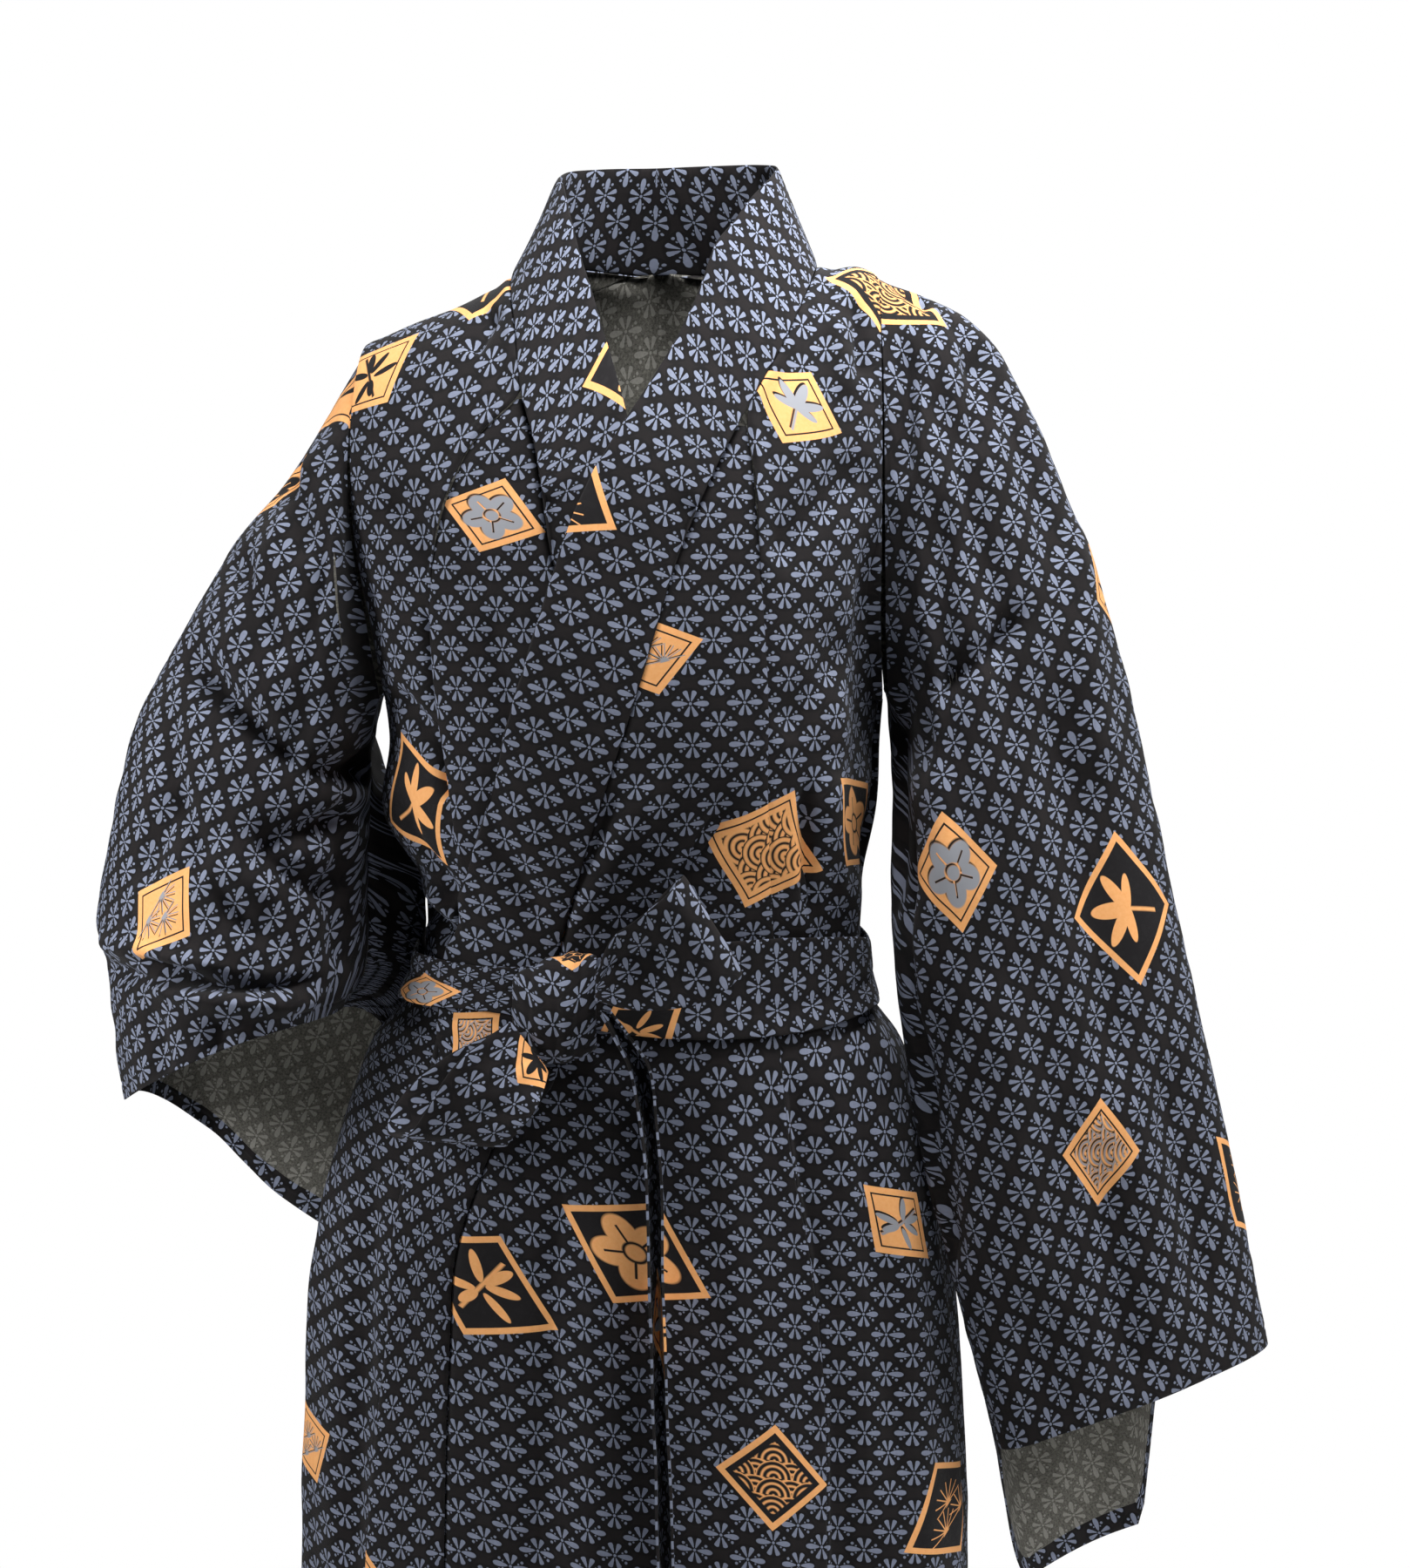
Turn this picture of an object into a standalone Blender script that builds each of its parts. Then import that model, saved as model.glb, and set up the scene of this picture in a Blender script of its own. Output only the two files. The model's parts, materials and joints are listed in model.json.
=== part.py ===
# Short yukata: a wrapped cotton robe in its worn shape, with its own belt tied in a bow.
# Metres, +Z up. The front faces -Y and the wearer's left is at +X.
# The origin lies between the shoulders, level with the sides of the neck.

import bpy
import numpy as np

for thing in list(bpy.data.objects):
    bpy.data.objects.remove(thing)

# Cloth and sewing
CLOTH = 0.0016
BAND_CLOTH = 0.0030
SEAM = 0.0004
WRAP = 0.0055
BELT_LIFT = 0.0055
# Two places closer than this count as the same
TOUCH = 1e-6

# Heights that the whole garment is built from
HEM = -0.870
ARMPIT = -0.250
ROLL = -0.170
NECK_BACK = -0.075

# How square the body's cross-section and the roll over the shoulders are
BODY_SQUARE = 2.3
FRONT_ROLL = 2.0
BACK_ROLL = 4.0

# The neck hole: its middle, its half width and how far back it reaches
NECK_X = 0.020
NECK_HALF = 0.086
NECK_REACH = 0.080

# How the collar leaves the neck seam: the height where it starts to stand proud, and over what rise
COLLAR_STANDS_FROM = -0.185
COLLAR_STANDS_OVER = 0.055
# The collar follows the neck's free edge above this distance along its seam
COLLAR_FREE_FROM = 0.300
COLLAR_FREE_OVER = 0.055
COLLAR_LIES_BELOW = -0.11

# Sizes of the grids, rounds of the seam search and the step that directions are measured over
BODY_COLUMNS = 12
OKUMI_COLUMNS = 8
COLLAR_COLUMNS = 4
SLEEVE_POINTS = 28
BELT_POINTS = 52
BELT_ROWS = 5
KNOT_COLUMNS = 7
LOOP_ROWS = 22
LOOP_COLUMNS = 7
LONG_END_ROWS = 24
SHORT_END_ROWS = 6
SHORT_END_COLUMNS = 5
ARMHOLE_POINTS = 60
SEAM_ROUNDS = 30
NORMAL_STEP = 0.004


def eased(keys, values, at):
    """Reads a smooth curve through the given values."""
    slopes = np.gradient(values, keys)
    at = np.clip(at, keys[0], keys[-1])
    cell = np.clip(np.searchsorted(keys, at, side="right") - 1, 0, len(keys) - 2)
    span = keys[cell + 1] - keys[cell]
    t = (at - keys[cell]) / span
    low, high = values[cell], values[cell + 1]
    start, end = slopes[cell] * span, slopes[cell + 1] * span
    return (
        low * (2 * t**3 - 3 * t**2 + 1)
        + start * (t**3 - 2 * t**2 + t)
        + high * (3 * t**2 - 2 * t**3)
        + end * (t**3 - t**2)
    )


def step(value):
    """Rises smoothly from 0 to 1 while value goes from 0 to 1."""
    value = np.clip(value, 0, 1)
    return value * value * (3 - 2 * value)


class Table:
    """Rows of sizes under named columns. The first column is the key that the others are read by."""

    def __init__(self, columns, rows):
        self.columns = columns.split()
        self.rows = np.array(rows, dtype=float)

    def read(self, name, at):
        values = self.rows[:, self.columns.index(name)]
        return eased(self.rows[:, 0], values, np.asarray(at, dtype=float))

    def point(self, names, at):
        return np.stack([self.read(name, at) for name in names.split()], axis=-1)


# The body's outline at each height: both sides, and how deep the front and back are
LEVELS = Table("height right left front back", [
    (-0.870, -0.192, 0.198, 0.138, 0.132),
    (-0.680, -0.189, 0.194, 0.129, 0.126),
    (-0.570, -0.182, 0.184, 0.121, 0.119),
    (-0.480, -0.163, 0.166, 0.112, 0.106),
    (-0.445, -0.149, 0.152, 0.106, 0.097),
    (-0.420, -0.129, 0.1345, 0.100, 0.087),
    (-0.398, -0.1205, 0.1305, 0.097, 0.082),
    (-0.375, -0.1190, 0.1295, 0.098, 0.081),
    (-0.350, -0.1220, 0.1320, 0.101, 0.083),
    (-0.315, -0.142, 0.139, 0.112, 0.090),
    (-0.270, -0.138, 0.141, 0.121, 0.096),
    (-0.220, -0.148, 0.146, 0.124, 0.100),
    (-0.170, -0.160, 0.152, 0.120, 0.101),
    (-0.110, -0.172, 0.160, 0.113, 0.099),
    (0.000, -0.180, 0.170, 0.104, 0.096),
])

# The line over the shoulders that front and back roll up to
SHOULDER = Table("x height", [
    (-0.200, -0.070),
    (-0.150, -0.050),
    (-0.101, -0.030),
    (-0.066, -0.0155),
    (0.020, 0.012),
    (0.106, -0.010),
    (0.128, -0.007),
    (0.142, -0.014),
    (0.200, -0.035),
])

# Where the sleeves are sewn on, seen from the front
ARMHOLES = Table("height right left", [
    (-0.250, -0.1395, 0.1415),
    (-0.210, -0.1445, 0.1390),
    (-0.160, -0.1530, 0.1385),
    (-0.110, -0.1550, 0.1385),
    (-0.050, -0.1525, 0.1380),
    (0.000, -0.1490, 0.1375),
])

# Where each front's seams run, seen from the front. The left front lies over the right one.
LEFT_SEAMS = Table("height collar okumi", [
    (-0.870, -0.105, 0.112),
    (-0.730, -0.102, 0.109),
    (-0.600, -0.098, 0.105),
    (-0.545, -0.094, 0.098),
    (-0.500, -0.079, 0.089),
    (-0.440, -0.054, 0.081),
    (-0.380, -0.038, 0.077),
    (-0.320, -0.0225, 0.074),
    (-0.280, -0.010, 0.073),
    (-0.240, 0.003, 0.073),
    (-0.200, 0.0150, 0.071),
    (-0.160, 0.0270, 0.0685),
    (-0.120, 0.0440, 0.0655),
    (-0.084, 0.0630, 0.0630),
    (-0.048, 0.0840, 0.0840),
    (-0.013, 0.1020, 0.1020),
    (-0.004, 0.1065, 0.1065),
])
RIGHT_SEAMS = Table("height collar okumi", [
    (-0.870, 0.062, -0.110),
    (-0.600, 0.060, -0.104),
    (-0.500, 0.057, -0.100),
    (-0.400, 0.046, -0.095),
    (-0.350, 0.036, -0.095),
    (-0.300, 0.020, -0.098),
    (-0.250, -0.003, -0.105),
    (-0.205, -0.024, -0.108),
    (-0.165, -0.0400, -0.106),
    (-0.127, -0.0460, -0.096),
    (-0.100, -0.0510, -0.082),
    (-0.075, -0.0580, -0.0580),
    (-0.047, -0.0612, -0.0612),
    (-0.0155, -0.0660, -0.0660),
    (-0.004, -0.0660, -0.0660),
])
LEFT_OKUMI_TOP = -0.119
RIGHT_OKUMI_TOP = -0.103
BACK_SEAM = Table("height x", [(-0.870, 0.004), (-0.400, 0.003), (-0.170, 0.010), (0.000, 0.020)])

# How wide each half of the collar looks from the front, below the crossing
COLLAR_FRONT = Table("height left right", [
    (-0.870, 0.044, 0.056),
    (-0.700, 0.040, 0.056),
    (-0.580, 0.031, 0.056),
    (-0.500, 0.036, 0.056),
    (-0.420, 0.052, 0.057),
    (-0.300, 0.058, 0.058),
    (-0.160, 0.059, 0.057),
    (-0.090, 0.052, 0.050),
    (0.000, 0.052, 0.050),
])

# The collar's free edge round the neck, by the distance along its seam from the middle of the back
NECK_EDGE = Table("along x y z", [
    (-0.310, 0.0060, -0.104, -0.1040),
    (-0.282, -0.0030, -0.088, -0.0740),
    (-0.246, -0.0125, -0.072, -0.0480),
    (-0.213, -0.0205, -0.055, -0.0220),
    (-0.180, -0.0285, -0.036, 0.0020),
    (-0.1495, -0.0340, -0.018, 0.0225),
    (-0.1225, -0.0385, 0.001, 0.0385),
    (-0.0995, -0.0415, 0.021, 0.0435),
    (-0.0715, -0.0370, 0.044, 0.0480),
    (-0.037, -0.0180, 0.062, 0.0505),
    (0.000, 0.0140, 0.068, 0.0515),
    (0.030, 0.0430, 0.065, 0.0525),
    (0.0625, 0.0700, 0.052, 0.0525),
    (0.091, 0.0815, 0.030, 0.0500),
    (0.115, 0.0775, 0.0085, 0.0430),
    (0.1375, 0.0668, -0.0115, 0.0315),
    (0.162, 0.0575, -0.028, 0.0185),
    (0.1895, 0.0465, -0.043, 0.0042),
    (0.2115, 0.0395, -0.0545, -0.0150),
    (0.228, 0.0345, -0.0620, -0.0284),
    (0.2515, 0.0262, -0.074, -0.0455),
    (0.277, 0.0150, -0.086, -0.0670),
    (0.300, 0.0029, -0.096, -0.0886),
])

# The size that turns the body's folds into metres round it
BODY_RADIUS = 0.15
# Soft troughs (-) and ridges (+) on the body, by the turn from the front towards the wearer's left
BODY_FOLDS = [
    # turn and height at the top, turn and height at the bottom, width, depth
    (-8, -0.455, -14, -0.95, 0.012, -0.0060),
    (-3, -0.470, -8, -0.95, 0.018, 0.0040),
    (26, -0.420, 34, -0.95, 0.020, -0.0050),
    (48, -0.430, 55, -0.95, 0.018, 0.0045),
    (76, -0.440, 82, -0.95, 0.020, -0.0050),
    (-52, -0.440, -58, -0.95, 0.018, -0.0045),
    (-80, -0.460, -84, -0.95, 0.020, 0.0050),
    (104, -0.430, 108, -0.95, 0.020, 0.0060),
    (128, -0.440, 130, -0.95, 0.022, -0.0070),
    (152, -0.420, 156, -0.95, 0.020, 0.0060),
    (-176, -0.440, -174, -0.95, 0.020, -0.0060),
    (-150, -0.430, -154, -0.95, 0.022, 0.0065),
    (-126, -0.440, -130, -0.95, 0.020, -0.0065),
    (-104, -0.430, -106, -0.95, 0.018, 0.0050),
    (-30, -0.250, -22, -0.375, 0.012, -0.0040),
    (60, -0.200, 52, -0.375, 0.014, -0.0045),
    (42, -0.280, 40, -0.380, 0.012, 0.0035),
    (-62, -0.290, -50, -0.385, 0.011, -0.0045),
    (150, -0.240, 156, -0.375, 0.014, -0.0050),
    (-165, -0.260, -160, -0.375, 0.014, 0.0045),
    (-135, -0.230, -140, -0.375, 0.016, -0.0050),
    (120, -0.270, 124, -0.380, 0.014, 0.0040),
]

# Each sleeve along the arm: its outer and inner edge, seen from the front and from the side,
# how far the cloth stands out before and behind, and how much its front rises and its back drops
LEFT_SLEEVE = Table("station outer_x outer_y outer_z inner_x inner_y inner_z before behind rise drop", [
    (1.0, 0.163, 0.000, -0.023, 0.1480, -0.012, -0.285, 0.068, 0.060, 0.000, 0.000),
    (2.0, 0.187, -0.004, -0.035, 0.1480, -0.025, -0.325, 0.066, 0.058, 0.000, 0.000),
    (3.0, 0.207, -0.008, -0.057, 0.1470, -0.040, -0.368, 0.062, 0.056, 0.000, 0.000),
    (4.0, 0.232, -0.014, -0.105, 0.1500, -0.056, -0.415, 0.057, 0.054, 0.000, 0.000),
    (5.0, 0.257, -0.018, -0.169, 0.1550, -0.062, -0.455, 0.053, 0.053, 0.000, 0.000),
    (6.0, 0.276, -0.020, -0.228, 0.1610, -0.066, -0.492, 0.050, 0.052, 0.000, 0.000),
    (7.0, 0.292, -0.022, -0.292, 0.1690, -0.069, -0.527, 0.048, 0.052, 0.000, 0.000),
    (8.0, 0.307, -0.024, -0.360, 0.1780, -0.072, -0.560, 0.047, 0.052, 0.000, 0.002),
    (9.0, 0.326, -0.025, -0.440, 0.1870, -0.074, -0.594, 0.046, 0.053, 0.002, 0.008),
    (10.0, 0.347, -0.026, -0.530, 0.1970, -0.076, -0.632, 0.045, 0.054, 0.004, 0.036),
    (11.0, 0.366, -0.026, -0.622, 0.2080, -0.076, -0.668, 0.044, 0.056, 0.008, 0.101),
])
RIGHT_SLEEVE = Table("station outer_x outer_y outer_z inner_x inner_y inner_z before behind rise drop", [
    (1.0, -0.170, 0.000, -0.088, -0.1500, -0.006, -0.283, 0.068, 0.060, 0.000, 0.000),
    (2.0, -0.193, 0.000, -0.124, -0.1510, -0.008, -0.312, 0.070, 0.058, 0.000, 0.000),
    (3.0, -0.225, 0.000, -0.162, -0.1520, -0.010, -0.338, 0.073, 0.058, 0.000, 0.000),
    (4.0, -0.263, 0.002, -0.224, -0.1520, -0.012, -0.360, 0.078, 0.058, 0.000, 0.000),
    (5.0, -0.286, 0.003, -0.270, -0.1520, -0.014, -0.379, 0.084, 0.058, 0.001, 0.006),
    (6.0, -0.298, 0.004, -0.320, -0.1520, -0.016, -0.393, 0.090, 0.060, 0.003, 0.022),
    (7.0, -0.308, 0.004, -0.374, -0.1530, -0.018, -0.402, 0.097, 0.062, 0.006, 0.042),
    (8.0, -0.303, 0.004, -0.402, -0.1550, -0.018, -0.408, 0.101, 0.065, 0.009, 0.067),
    (9.0, -0.3000, 0.004, -0.430, -0.1580, -0.018, -0.414, 0.104, 0.068, 0.012, 0.094),
    (10.0, -0.2975, 0.004, -0.460, -0.1620, -0.016, -0.420, 0.106, 0.074, 0.016, 0.123),
    (11.0, -0.2940, 0.004, -0.483, -0.1670, -0.014, -0.427, 0.107, 0.080, 0.020, 0.150),
])
SLEEVE_STATIONS = np.array([
    0.0, 0.35, 0.7, 1.1, 1.6, 2.2, 2.9, 3.7, 4.5, 5.3, 6.1, 6.8, 7.4, 7.9, 8.4, 9.0, 9.6, 10.3, 11.0,
])
# Where the back of each cuff starts to drop, hangs fully and ends, as shares from its outer edge
LEFT_HANG = (0.36, 0.42, 0.85)
RIGHT_HANG = (0.0, 0.8, 0.8)
# How far a sleeve stands off its armhole, at the shoulder and in addition under the arm
ARMHOLE_GAP = 0.0008
UNDERARM_GAP = 0.0020
# Sizes that turn a sleeve's folds into metres: its radius and the length of one station
SLEEVE_RADIUS = 0.085
STATION_LENGTH = 0.050

# Turn round the sleeve from its outer edge over the front, and station
LEFT_SLEEVE_FOLDS = [
    (48, 0.6, 78, 5.0, 0.013, -0.0070),
    (20, 1.2, 40, 5.2, 0.014, -0.0055),
    (100, 0.8, 118, 4.6, 0.013, 0.0050),
    (150, 2.0, 168, 6.5, 0.013, -0.0060),
    (62, 5.0, 84, 11.5, 0.022, 0.0040),
    (122, 5.5, 128, 11.5, 0.016, -0.0045),
    (-40, 0.8, -60, 5.5, 0.015, -0.0065),
    (-90, 1.5, -100, 6.0, 0.016, 0.0050),
    (-130, 2.0, -128, 8.0, 0.015, -0.0055),
    (-75, 6.0, -82, 11.5, 0.018, -0.0060),
]
RIGHT_SLEEVE_FOLDS = [
    (30, 4.0, 120, 6.6, 0.012, -0.0060),
    (10, 8.0, 120, 8.1, 0.011, -0.0085),
    (20, 7.3, 105, 7.2, 0.012, 0.0060),
    (60, 0.8, 120, 4.0, 0.014, -0.0050),
    (20, 1.0, 60, 3.6, 0.014, 0.0045),
    (140, 2.0, 150, 7.0, 0.014, -0.0055),
    (-50, 1.0, -70, 6.0, 0.016, -0.0060),
    (-100, 2.0, -100, 8.0, 0.016, 0.0050),
    (-140, 3.0, -136, 10.0, 0.016, -0.0055),
    (-60, 7.0, -66, 11.5, 0.016, 0.0050),
]

# The belt round the waist, by the turn from the front: its lower and upper edge
BELT = Table("turn lower upper", [
    (-180, -0.426, -0.376),
    (-120, -0.426, -0.383),
    (-90, -0.424, -0.390),
    (-60, -0.421, -0.390),
    (-32, -0.417, -0.389),
    (-15, -0.420, -0.384),
    (5, -0.428, -0.375),
    (30, -0.430, -0.372),
    (60, -0.427, -0.378),
    (90, -0.423, -0.389),
    (120, -0.426, -0.383),
    (180, -0.426, -0.376),
])
BELT_CREASES = [
    # turn and place across at both ends, width across, depth
    (-95, 0.55, -22, 0.45, 0.10, -0.0018),
    (20, 0.20, 96, 0.50, 0.10, -0.0012),
]

# The knot is a band that goes down over the belt
KNOT = Table("across lower upper forward", [
    (-0.0640, -0.430, -0.394, 0.0125),
    (-0.0560, -0.436, -0.389, 0.0190),
    (-0.0440, -0.439, -0.383, 0.0235),
    (-0.0310, -0.437, -0.379, 0.0235),
    (-0.0180, -0.430, -0.380, 0.0150),
])
KNOT_ARCH = 13
KNOT_OFF_SKIRT = 0.0035
BELT_MIDDLE = -0.405

# Each loop of the bow runs from the knot along its front, round its end and back behind
UPPER_LOOP = Table("station top_x top_y top_z low_x low_y low_z dish", [
    (0.0, -0.0176, -0.1290, -0.3870, -0.0175, -0.1290, -0.4010, 0.000),
    (1.0, -0.0100, -0.1450, -0.3660, -0.0010, -0.1400, -0.4035, 0.006),
    (2.0, 0.0020, -0.1520, -0.3545, 0.0190, -0.1420, -0.4035, 0.009),
    (3.0, 0.0140, -0.1540, -0.3450, 0.0370, -0.1430, -0.4000, 0.006),
    (4.0, 0.0240, -0.1490, -0.3365, 0.0520, -0.1400, -0.3930, 0.001),
    (5.0, 0.0290, -0.1380, -0.3315, 0.0610, -0.1320, -0.3860, 0.000),
    (6.0, 0.0250, -0.1290, -0.3360, 0.0550, -0.1260, -0.3910, 0.000),
    (7.0, 0.0120, -0.1265, -0.3500, 0.0360, -0.1250, -0.3980, 0.001),
    (8.0, -0.0030, -0.1260, -0.3680, 0.0130, -0.1250, -0.4020, 0.001),
    (9.0, -0.0172, -0.1245, -0.3880, -0.0170, -0.1245, -0.4010, 0.000),
])
LOWER_LOOP = Table("station top_x top_y top_z low_x low_y low_z dish", [
    (0.0, -0.0645, -0.1260, -0.4130, -0.0440, -0.1270, -0.4410, 0.000),
    (1.0, -0.0790, -0.1380, -0.4215, -0.0460, -0.1390, -0.4485, 0.003),
    (2.0, -0.0945, -0.1450, -0.4345, -0.0500, -0.1470, -0.4570, 0.005),
    (3.0, -0.1055, -0.1460, -0.4520, -0.0570, -0.1480, -0.4660, 0.004),
    (4.0, -0.1160, -0.1420, -0.4690, -0.0640, -0.1440, -0.4750, 0.001),
    (5.0, -0.1250, -0.1300, -0.4760, -0.0660, -0.1360, -0.4790, 0.000),
    (6.0, -0.1330, -0.1150, -0.4740, -0.0650, -0.1290, -0.4740, 0.000),
    (7.0, -0.1220, -0.1110, -0.4540, -0.0570, -0.1265, -0.4640, 0.000),
    (8.0, -0.0980, -0.1170, -0.4330, -0.0490, -0.1262, -0.4540, 0.000),
    (9.0, -0.0665, -0.1205, -0.4170, -0.0430, -0.1215, -0.4430, 0.000),
])

# The belt's long end hangs folded in two along its length
LONG_END = Table("station x z depth open", [
    (0.0, -0.0130, -0.4080, 0.004, 0.0035),
    (1.0, -0.0040, -0.4200, 0.010, 0.0045),
    (2.0, 0.0060, -0.4380, 0.017, 0.0050),
    (3.0, 0.0105, -0.4660, 0.022, 0.0045),
    (4.0, 0.0135, -0.5000, 0.024, 0.0040),
    (5.0, 0.0145, -0.5450, 0.025, 0.0038),
    (6.0, 0.0162, -0.6000, 0.025, 0.0038),
    (7.0, 0.0184, -0.6660, 0.025, 0.0040),
    (8.0, 0.0200, -0.7250, 0.025, 0.0042),
    (9.0, 0.0210, -0.7900, 0.025, 0.0045),
])
# The long end comes out from behind the knot: how far forward, and over which stations it falls back
LONG_END_FORWARD = 0.016
LONG_END_BACK_BY = 2.6
LONG_END_BACK_OVER = 1.6
SHORT_END = Table("station left_x right_x z", [
    (0.0, -0.060, -0.040, -0.4420),
    (1.0, -0.072, -0.042, -0.4500),
    (2.0, -0.086, -0.048, -0.4590),
    (3.0, -0.098, -0.055, -0.4690),
])

PRINT = (0.055, 0.055, 0.068, 1.0)
PRINT_LIGHT = (0.075, 0.078, 0.095, 1.0)
ROUGHNESS = 0.85


# The body as a smooth surface, read by the turn to either side and the height


def body_outline(height):
    right, left = LEVELS.read("right", height), LEVELS.read("left", height)
    return (right + left) / 2, (left - right) / 2


def roll_share(height):
    """How far a height has rolled over the shoulder, from 0 below to 1 on the shoulder line."""
    return np.clip((height - ROLL) / -ROLL, 0, 1)


def body_surface(turn, height, face):
    """A point on the body. turn is -90 to 90 degrees in radians, and face is 1 in front, -1 behind."""
    middle, half = body_outline(height)
    power = 2 / BODY_SQUARE
    across, ahead = np.sin(turn), np.maximum(np.cos(turn), 0)
    x = middle + half * np.sign(across) * np.abs(across) ** power
    roll = roll_share(height) * np.pi / 2
    square = np.where(face > 0, FRONT_ROLL, BACK_ROLL)
    deep = np.where(face > 0, -LEVELS.read("front", height), LEVELS.read("back", height))
    y = deep * ahead**power * np.cos(roll) ** (2 / square)
    top = ROLL + (SHOULDER.read("height", x) - ROLL) * np.sin(roll) ** (2 / square)
    z = np.where(height > ROLL, top, height)
    return np.stack([x, y, z], axis=-1)


def turn_at(x, height):
    """The turn at which the body's outline reaches x."""
    middle, half = body_outline(height)
    share = np.clip(np.abs(x - middle) / half, 0, 1)
    return np.sign(x - middle) * np.arcsin(share ** (BODY_SQUARE / 2))


def level_at(x, z):
    """The height value whose front surface lies at x and z."""
    share = np.clip((z - ROLL) / (SHOULDER.read("height", x) - ROLL), 0, 1)
    roll = np.arcsin(share ** (FRONT_ROLL / 2))
    return np.where(z > ROLL, ROLL - ROLL * roll * 2 / np.pi, z)


def body_normal(turn, height, face):
    small = NORMAL_STEP
    limit = np.pi / 2
    low_turn, high_turn = np.clip(turn - small, -limit, limit), np.clip(turn + small, -limit, limit)
    low_height, high_height = height - small / 4, np.minimum(height + small / 4, 0)
    round_it = body_surface(high_turn, height, face) - body_surface(low_turn, height, face)
    up_it = body_surface(turn, high_height, face) - body_surface(turn, low_height, face)
    normal = np.cross(round_it, up_it) * np.reshape(face, np.shape(face) + (1,))
    normal /= np.linalg.norm(normal, axis=-1, keepdims=True)
    sides = np.abs(np.abs(turn) - limit) < TOUCH
    flat = np.stack([np.sign(turn), 0 * turn, 0 * turn], axis=-1)
    return np.where(sides[..., None] & (height <= ARMPIT)[..., None], flat, normal)


def fold_depth(folds, girth, length, radius, pace=1.0):
    """Adds up the folds at a turn in radians and a place along. radius and pace turn them into metres."""
    total = np.zeros(np.broadcast(girth, length).shape)
    for first_turn, first, last_turn, last, width, depth in folds:
        swing = (girth - np.radians(first_turn) + np.pi) % (2 * np.pi) - np.pi
        along, across = (last - first) * pace, np.radians(last_turn - first_turn) * radius
        reach = np.hypot(along, across)
        beside, beyond = swing * radius, (length - first) * pace
        share = (beside * across + beyond * along) / reach**2
        apart = (beside * along - beyond * across) / reach
        total += depth * np.exp(-((apart / width) ** 2)) * step(share / 0.25) * step((1 - share) / 0.2)
    return total


def full_turn(turn, face):
    return np.where(face > 0, turn, np.sign(turn) * np.pi - turn)


def over_lift(turn, height):
    """How far the front that lies on top stands off the one below it."""
    edge = np.radians(50 + 34 * step((-0.200 - height) / 0.100))
    return WRAP * step((edge - turn) / np.radians(20)) * step((-0.030 - height) / 0.060)


def cloth(turn, height, face, lift=0.0):
    """A point of the worn cloth and its direction outwards."""
    turn, height, face = np.broadcast_arrays(turn, height, face)
    normal = body_normal(turn, height, face)
    depth = fold_depth(BODY_FOLDS, full_turn(turn, face), height, BODY_RADIUS)
    return body_surface(turn, height, face) + normal * (depth + lift)[..., None], normal


def front_cloth(x, z, over):
    """The cloth of a front at x and z as seen from the front."""
    height = level_at(x, z)
    turn = turn_at(x, height)
    lift = over_lift(turn, height) if over else 0.0 * turn
    return cloth(turn, height, np.ones_like(turn), lift)


# Closed solids from sheets of points


def halves(face, points):
    """Splits a four-cornered face along its shorter diagonal, so that both sides of a sheet match."""
    if len(set(face)) < 4:
        return [[corner for place, corner in enumerate(face) if corner != face[place - 1]]]
    a, b, c, d = face
    if np.linalg.norm(points[a] - points[c]) <= np.linalg.norm(points[b] - points[d]):
        return [[a, b, c], [a, c, d]]
    return [[a, b, d], [b, c, d]]


def thick_sheet(name, points, faces, normals, thickness, light=False):
    """Gives a sheet its two sides and its edges, and makes the object."""
    points, normals = np.asarray(points), np.asarray(normals)
    outer, inner = points + normals * thickness / 2, points - normals * thickness / 2
    count = len(points)
    faces = [half for face in faces for half in halves(face, points)]
    sides = {}
    for face in faces:
        for start, end in zip(face, face[1:] + face[:1]):
            sides[(start, end)] = True
    solid = [list(face) for face in faces]
    solid += [[corner + count for corner in reversed(face)] for face in faces]
    for start, end in sides:
        if (end, start) not in sides:
            solid += [[end, start, start + count], [end, start + count, end + count]]
    mesh = bpy.data.meshes.new(name)
    mesh.from_pydata(np.concatenate([outer, inner]).tolist(), [], solid)
    mesh.validate()
    mesh.shade_smooth()
    mesh.materials.append(cotton_light if light else cotton)
    thing = bpy.data.objects.new(name, mesh)
    bpy.context.scene.collection.objects.link(thing)
    return thing


def grid_faces(rows, columns, closed=False, flip=False):
    faces = []
    for row in range(rows - 1):
        for column in range(columns if closed else columns - 1):
            after = (column + 1) % columns
            face = [row * columns + column, row * columns + after,
                    (row + 1) * columns + after, (row + 1) * columns + column]
            faces.append(face[::-1] if flip else face)
    return faces


def grid_normals(grid, closed=False):
    """Directions square to a grid of points, by rows and columns."""
    if closed:
        across = np.roll(grid, -1, axis=1) - np.roll(grid, 1, axis=1)
    else:
        across = np.gradient(grid, axis=1)
    along = np.gradient(grid, axis=0)
    normals = np.cross(across, along)
    return normals / np.linalg.norm(normals, axis=-1, keepdims=True)


def make_material(name, colour):
    material = bpy.data.materials.new(name)
    material.use_nodes = True
    shader = material.node_tree.nodes["Principled BSDF"]
    shader.inputs["Base Color"].default_value = colour
    shader.inputs["Roughness"].default_value = ROUGHNESS
    shader.inputs["Metallic"].default_value = 0.0
    return material


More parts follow.
